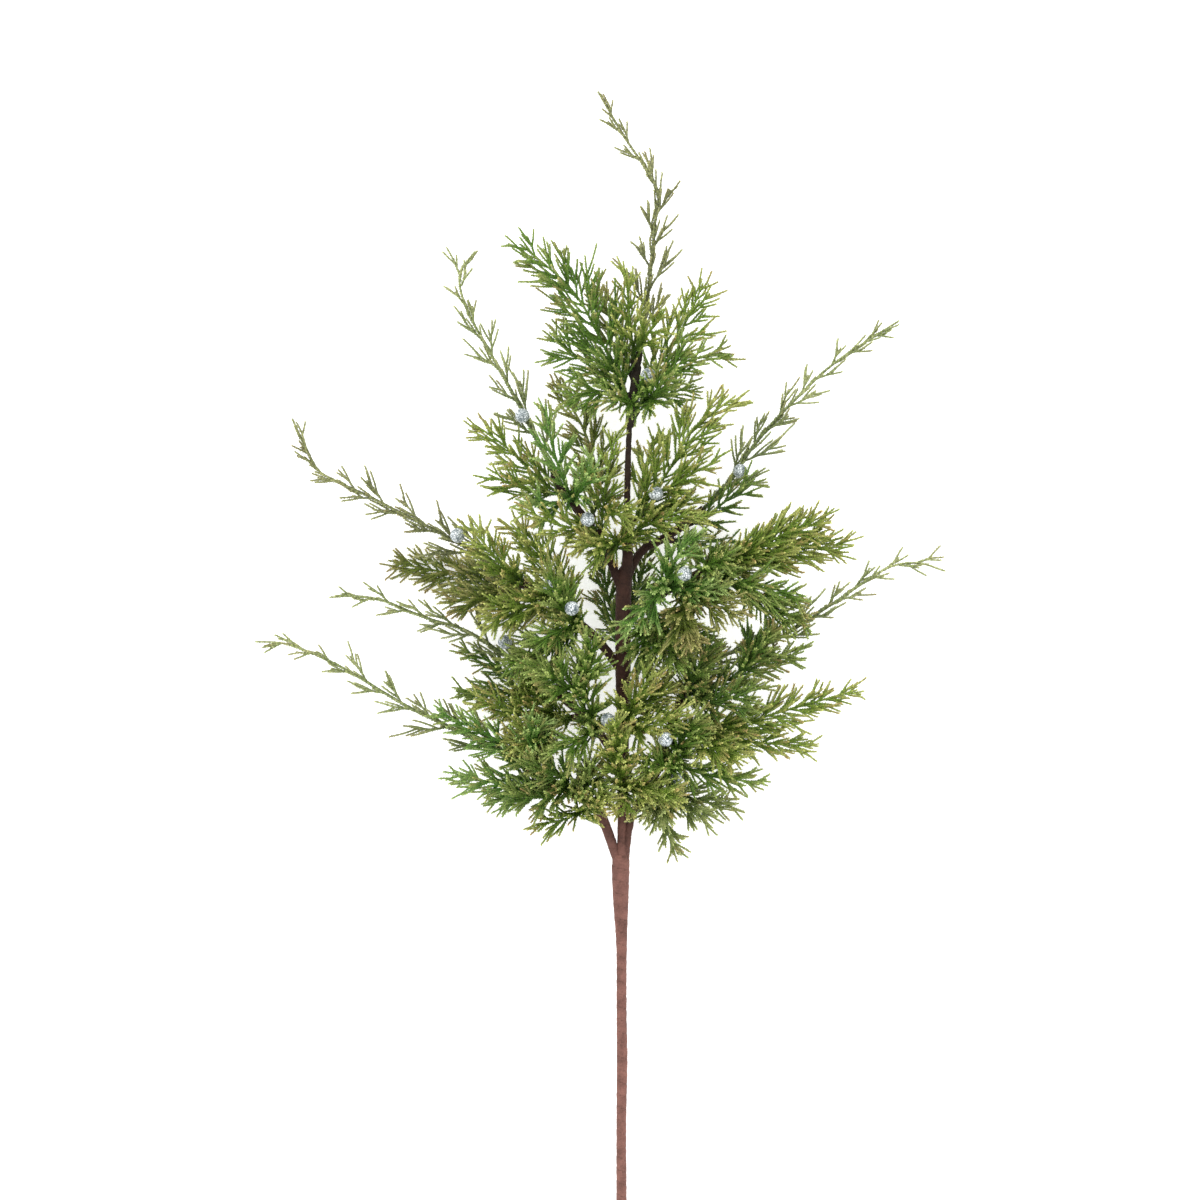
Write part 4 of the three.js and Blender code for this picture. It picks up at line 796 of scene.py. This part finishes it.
def tuft(root, tip, out, face, rule_rows, extra, start_age, lowest, spacing, fine_angle):
    """One side shoot with its twiglets: those of the part's rule, and finer ones that fill between them."""
    along = (tip - root).normalized()
    reach = (tip - root).length
    push = (out - along * out.dot(along)) * SHOOT_BOW * reach + face * (extra() - 0.5) * SHOOT_BOW * reach
    tint = extra()
    shoot_side = along.cross(face).normalized()
    rows = list(rule_rows)
    amount = max(1, math.floor(reach / spacing + 0.5))
    for j in range(amount):
        part = FINE_FROM + FINE_RUN * (j + extra()) / amount
        turn = math.radians(fine_angle + extra() * FINE_ANGLE_SPREAD)
        lift = swing(extra, FINE_LIFT)
        span = FINE_LENGTH + FINE_SHARE * reach * (0.5 + 0.5 * extra())
        rows.append((part, turn, lift, span, 1 if j % 2 else -1))
    twigs = [twig_line(bowed(root, tip, push, 5), SHOOT_GIRTH, (start_age, 0.9), tint)]
    for part, turn, lift, span, way in rows:
        sideways = shoot_side * (way * math.cos(lift)) + face * math.sin(lift)
        heading = along * math.cos(turn) + sideways * math.sin(turn)
        origin = root.lerp(tip, part) + push * 2 * part * (1 - part)
        end = origin + heading * span
        end.z = max(end.z, lowest)
        age = (start_age + 0.2 * part, 1.0)
        twig_tint = TINT_KEPT * tint + (1 - TINT_KEPT) * extra()
        twiglet = bowed(origin, end, sideways * TWIGLET_BOW * span, 3)
        twigs.append(twig_line(twiglet, TWIGLET_GIRTH, age, twig_tint))
    return twigs


def grow(line, kind, spread, seed, lowest, fullness):
    """Grows a line's shoots by the part's rule, then shorter fillers all round the line."""
    rule = GROWTH[kind]
    length = line_length(line)
    run = length - rule["start"] - rule["bare_tip"]
    filler_run = length - rule["filler_start"] - rule["bare_tip"]
    count = max(3, math.floor(run / rule["pitch"] + 0.5))
    up = Vector((0, 0, 1))
    twigs = []
    for i in range(count):
        draw = draws(seed + SHOOT_SEED_STEP * i)
        share = (i + 0.5 - SPACING_SPREAD / 2 + SPACING_SPREAD * draw()) / count
        root, axis = spot_on(line, rule["start"] + run * share)
        side = axis.cross(up).normalized()
        face = side.cross(axis).normalized()
        hand = -1 if i % 2 else 1
        tilt = swing(draw, rule["tilt"])
        opening = rule["wide"] + (rule["narrow"] - rule["wide"]) * share
        angle = math.radians(opening + (draw() - 0.5) * ANGLE_SPREAD)
        out = side * (hand * math.cos(tilt)) + face * math.sin(tilt)
        along = axis * math.cos(angle) + out * math.sin(angle)
        reach = max(SHORTEST_SHOOT, spread * outline(kind, share) * uneven(draw))
        tip = root + along * reach
        tip.z = max(tip.z, lowest)
        amount = max(1, math.floor(reach / rule["twiglet_pitch"] + 0.5))
        rows = []
        for j in range(amount):
            part = TWIGLET_FROM + TWIGLET_RUN * (j + draw()) / amount
            turn = math.radians(rule["twiglet_angle"] + draw() * TWIGLET_ANGLE_SPREAD)
            lift = swing(draw, TWIGLET_LIFT)
            span = (TWIGLET_LENGTH + TWIGLET_SHARE * reach * (1 - part)) * uneven(draw)
            rows.append((part, turn, lift, span, -1 if j % 2 else 1))
        spacing = rule["spacing"] * (1 + rule["thinning"] * share) / fullness
        extra = draws(seed + SHOOT_SEED_STEP * i + FINE_SEED_SHIFT)
        twigs += tuft(root, tip, out, face, rows, extra, 0.15 + 0.45 * share, lowest, spacing,
                      rule["fine_angle"])
    fillers = math.floor(fullness * run / rule["filler_pitch"] + 0.5)
    for i in range(fillers):
        draw = draws(seed + FILLER_SEED_STEP * i + FILLER_SEED_SHIFT)
        share = ((i + draw()) / fillers) ** rule["filler_crowding"]
        root, axis = spot_on(line, rule["filler_start"] + filler_run * share)
        side = axis.cross(up).normalized()
        face = side.cross(axis).normalized()
        roll = 2 * math.pi * draw()
        out = side * math.cos(roll) + face * math.sin(roll)
        angle = math.radians(rule["filler_angle"] * (FILLER_ANGLE_LEAST + FILLER_ANGLE_SPREAD * draw()))
        along = axis * math.cos(angle) + out * math.sin(angle)
        longest = rule["filler_reach"] * spread * outline(kind, share)
        reach = max(SHORTEST_SHOOT, longest * (FILLER_LENGTH_LEAST + FILLER_LENGTH_SPREAD * draw()))
        tip = root + along * reach
        tip.z = max(tip.z, lowest)
        flat = out.cross(axis).normalized()
        spacing = rule["spacing"] * (1 + rule["thinning"] * share) / fullness
        twigs += tuft(root, tip, out, flat, [], draw, 0.1 + 0.5 * share, lowest, spacing,
                      rule["fine_angle"])
    return twigs


leaf_tree, given = new_tree("scale_leaf_twigs", [
    ("Twigs", "Geometry"), ("Leaf Pitch", "Float"), ("Core Share", "Float"), ("Core Step", "Float"),
    ("Leaf", "Object"), ("Leaf Size", "Float"), ("Turn Jitter", "Float"), ("Seed", "Int"),
    ("Plastic", "Material")])
twig_curves = put(leaf_tree, "GeometryNodeMeshToCurve", {"Mesh": given["Twigs"]})
core_rings = put(leaf_tree, "GeometryNodeResampleCurve",
                 {"Curve": twig_curves.outputs[0], "Length": given["Core Step"]}, mode="LENGTH")
core_girth = layer(leaf_tree, "girth")
core_radius = maths(leaf_tree, "MULTIPLY", core_girth.outputs[0], given["Core Share"])
core_profile = put(leaf_tree, "GeometryNodeCurvePrimitiveCircle", {"Resolution": 3, "Radius": 1.0})
core = put(leaf_tree, "GeometryNodeCurveToMesh",
           {"Curve": core_rings.outputs[0], "Profile Curve": core_profile.outputs[0],
            "Scale": core_radius.outputs[0], "Fill Caps": True})
leaf_points = put(leaf_tree, "GeometryNodeCurveToPoints",
                  {"Curve": twig_curves.outputs[0], "Length": given["Leaf Pitch"]}, mode="LENGTH")
leaf_index = put(leaf_tree, "GeometryNodeInputIndex")
leaf_odd = maths(leaf_tree, "MODULO", leaf_index.outputs[0], 2.0)
quarter = maths(leaf_tree, "MULTIPLY", leaf_odd.outputs[0], math.pi / 2)
jitter = put(leaf_tree, "FunctionNodeRandomValue",
             {2: -1.0, 3: 1.0, "Seed": given["Seed"]}, data_type="FLOAT")
jitter_turn = maths(leaf_tree, "MULTIPLY", jitter.outputs[1], given["Turn Jitter"])
leaf_turn = maths(leaf_tree, "ADD", quarter.outputs[0], jitter_turn.outputs[0])
leaf_roll = put(leaf_tree, "FunctionNodeAxisAngleToRotation",
                {"Axis": (0, 0, 1), "Angle": leaf_turn.outputs[0]})
leaf_facing = put(leaf_tree, "FunctionNodeRotateRotation",
                  {0: leaf_points.outputs["Rotation"], 1: leaf_roll.outputs[0]}, rotation_space="LOCAL")
leaf_girth = layer(leaf_tree, "girth")
leaf_scale = maths(leaf_tree, "MULTIPLY", leaf_girth.outputs[0], given["Leaf Size"])
leaf_shape = put(leaf_tree, "GeometryNodeObjectInfo", {"Object": given["Leaf"]})
leaves = put(leaf_tree, "GeometryNodeInstanceOnPoints",
             {"Points": leaf_points.outputs["Points"], "Instance": leaf_shape.outputs["Geometry"],
              "Rotation": leaf_facing.outputs[0], "Scale": leaf_scale.outputs[0]})
leaf_and_core = put(leaf_tree, "GeometryNodeJoinGeometry")
leaf_tree.links.new(leaves.outputs[0], leaf_and_core.inputs[0])
leaf_tree.links.new(core.outputs[0], leaf_and_core.inputs[0])
real_twigs = put(leaf_tree, "GeometryNodeRealizeInstances", {"Geometry": leaf_and_core.outputs[0]})
green_twigs = put(leaf_tree, "GeometryNodeSetMaterial",
                  {"Geometry": real_twigs.outputs[0], "Material": given["Plastic"]})
put(leaf_tree, "NodeGroupOutput", {"Geometry": green_twigs.outputs[0]})

# One pair of opposite keeled scale leaves, sized for a twig of unit girth; leaf_tip runs from root to tip,
# and sets the painted shade at each leaf's base and the painted highlight at its tip.
leaf_corners, leaf_faces, leaf_tips = [], [], []
for way in (1, -1):
    base = len(leaf_corners)
    leaf_corners += [(0, way * 0.35, -0.35), (-0.74, way * 0.5, 0.4), (0.74, way * 0.5, 0.4),
                     (0, way * 1.42, 1.25)]
    leaf_faces += [(base, base + 1, base + 3), (base, base + 3, base + 2), (base + 1, base + 2, base + 3),
                   (base, base + 2, base + 1)]
    leaf_tips += [0.0, 0.45, 0.45, 1.0]
leaf_mesh = bpy.data.meshes.new("scale_leaf_pair")
leaf_mesh.from_pydata(leaf_corners, [], leaf_faces)
leaf_mesh.attributes.new("leaf_tip", "FLOAT", "POINT").data.foreach_set("value", leaf_tips)
leaf_form = bmesh.new()
leaf_form.from_mesh(leaf_mesh)
bmesh.ops.recalc_face_normals(leaf_form, faces=leaf_form.faces)
leaf_form.to_mesh(leaf_mesh)
leaf_form.free()
leaf_pair = bpy.data.objects.new("scale_leaf_pair", leaf_mesh)
bpy.context.scene.collection.objects.link(leaf_pair)


def moulded_plastic(name, painted_inner_shade, body, tip, dried):
    """Satin leaf plastic: darker inside the spray as painted shade, plain along the twigs, pale and partly
    dried at the tips, the pale partly a painted highlight; each leaf is painted darker at its base and
    lighter at its tip.
    """
    material = bpy.data.materials.new(name)
    material.use_nodes = True
    nodes = material.node_tree
    shader = nodes.nodes["Principled BSDF"]
    place = put(nodes, "ShaderNodeTexCoord")
    age = put(nodes, "ShaderNodeAttribute", attribute_name="age")
    tint = put(nodes, "ShaderNodeAttribute", attribute_name="tint")
    leaf_tip = put(nodes, "ShaderNodeAttribute", attribute_name="leaf_tip")
    patches = put(nodes, "ShaderNodeTexNoise",
                  {"Vector": place.outputs["Object"], "Scale": 55.0, "Detail": 2.0})
    patch_shift = remap(nodes, patches.outputs["Fac"], given=(0.3, 0.7), wanted=(-0.22, 0.22))
    shifted = maths(nodes, "ADD", age.outputs["Fac"], patch_shift.outputs[0])
    # The ramp runs along each twig from its foot to its tip: the darker first colour is painted shade inside
    # the spray, and the paler tip colour is the plastic's own paler tips with a painted highlight.
    shade = put(nodes, "ShaderNodeValToRGB", {"Fac": shifted.outputs[0]})
    ramp = shade.color_ramp
    ramp.elements[0].position = 0.1
    ramp.elements[0].color = (*painted_inner_shade, 1)
    ramp.elements[1].position = 1.0
    ramp.elements[1].color = (*tip, 1)
    ramp.elements.new(0.6).color = (*body, 1)
    dry_age = remap(nodes, age.outputs["Fac"], given=(0.65, 1.0))
    dry_twig = remap(nodes, tint.outputs["Fac"], given=(0.5, 0.88))
    dry = maths(nodes, "MULTIPLY", dry_age.outputs[0], dry_twig.outputs[0])
    aged = put(nodes, "ShaderNodeMix", {"Factor": dry.outputs[0], 6: shade.outputs[0], 7: (*dried, 1)},
               data_type="RGBA")
    grain = put(nodes, "ShaderNodeTexNoise",
                {"Vector": place.outputs["Object"], "Scale": 700.0, "Detail": 3.0})
    # Painted shade and painted highlight: each scale leaf is darker at its base, against the twig under the
    # pair before it, and lighter at its tip.
    leaf_base_shade_tip_highlight = remap(nodes, leaf_tip.outputs["Fac"], wanted=(0.62, 1.38))
    grain_value = remap(nodes, grain.outputs["Fac"], wanted=(0.75, 1.25))
    value = maths(nodes, "MULTIPLY", leaf_base_shade_tip_highlight.outputs[0], grain_value.outputs[0])
    colour = put(nodes, "ShaderNodeVectorMath", {0: aged.outputs[2], 3: value.outputs[0]}, operation="SCALE")
    nodes.links.new(colour.outputs[0], shader.inputs["Base Color"])
    gloss = remap(nodes, grain.outputs["Fac"], wanted=(0.42, 0.66))
    nodes.links.new(gloss.outputs[0], shader.inputs["Roughness"])
    bump = put(nodes, "ShaderNodeBump",
               {"Height": grain.outputs["Fac"], "Strength": 0.25, "Distance": 0.0002})
    nodes.links.new(bump.outputs[0], shader.inputs["Normal"])
    shader.inputs["Specular IOR Level"].default_value = 0.4
    return material


plastics = {shade: moulded_plastic("plastic_" + shade, *colours) for shade, colours in SHADES.items()}
LEAF_FORM = {"Leaf Pitch": 0.00165, "Core Share": 0.82, "Core Step": 0.005, "Leaf": leaf_pair,
             "Leaf Size": 1.0, "Turn Jitter": 0.35}
for order, (name, holder, shade, lines) in enumerate(SPRAYS):
    lowest = RESTING_HEIGHT if name in RESTING_SPRAYS else CLEAR_HEIGHT
    fullness = UPPER_FULLNESS if routes[name][0][0].y > UPPER_SPRAYS_FROM else LOWER_FULLNESS
    if shade == "leader":
        fullness = 1.0
    twigs = []
    for line_order, (kind, spread, path) in enumerate(lines):
        route = routes[name][line_order]
        stalk = [Vector(row) for row in smooth_line([list(spot) for spot in route], 4)]
        twigs.append(twig_line(stalk, (GROWTH[kind]["stalk"] * STALK_SWELL, 1.0), (0.1, 0.9), 0.3))
        seed = FIRST_SEED + SPRAY_SEED_STEP * order + LINE_SEED_STEP * line_order
        twigs += grow(route, kind, spread, seed, lowest, fullness)
    for root, end in pegs.get(name, []):
        twigs.append(twig_line([root.lerp(end, i / 3) for i in range(4)], PEG_GIRTH, (0.3, 0.6), 0.3))
    plastic = plastics[GREYER_SPRAYS.get(name, shade)]
    spray_piece = bake("moulded_" + name, twigs, leaf_tree, {**LEAF_FORM, "Seed": order, "Plastic": plastic})
    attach(spray_piece, "root")
    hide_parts(name)
bpy.data.objects.remove(leaf_pair)
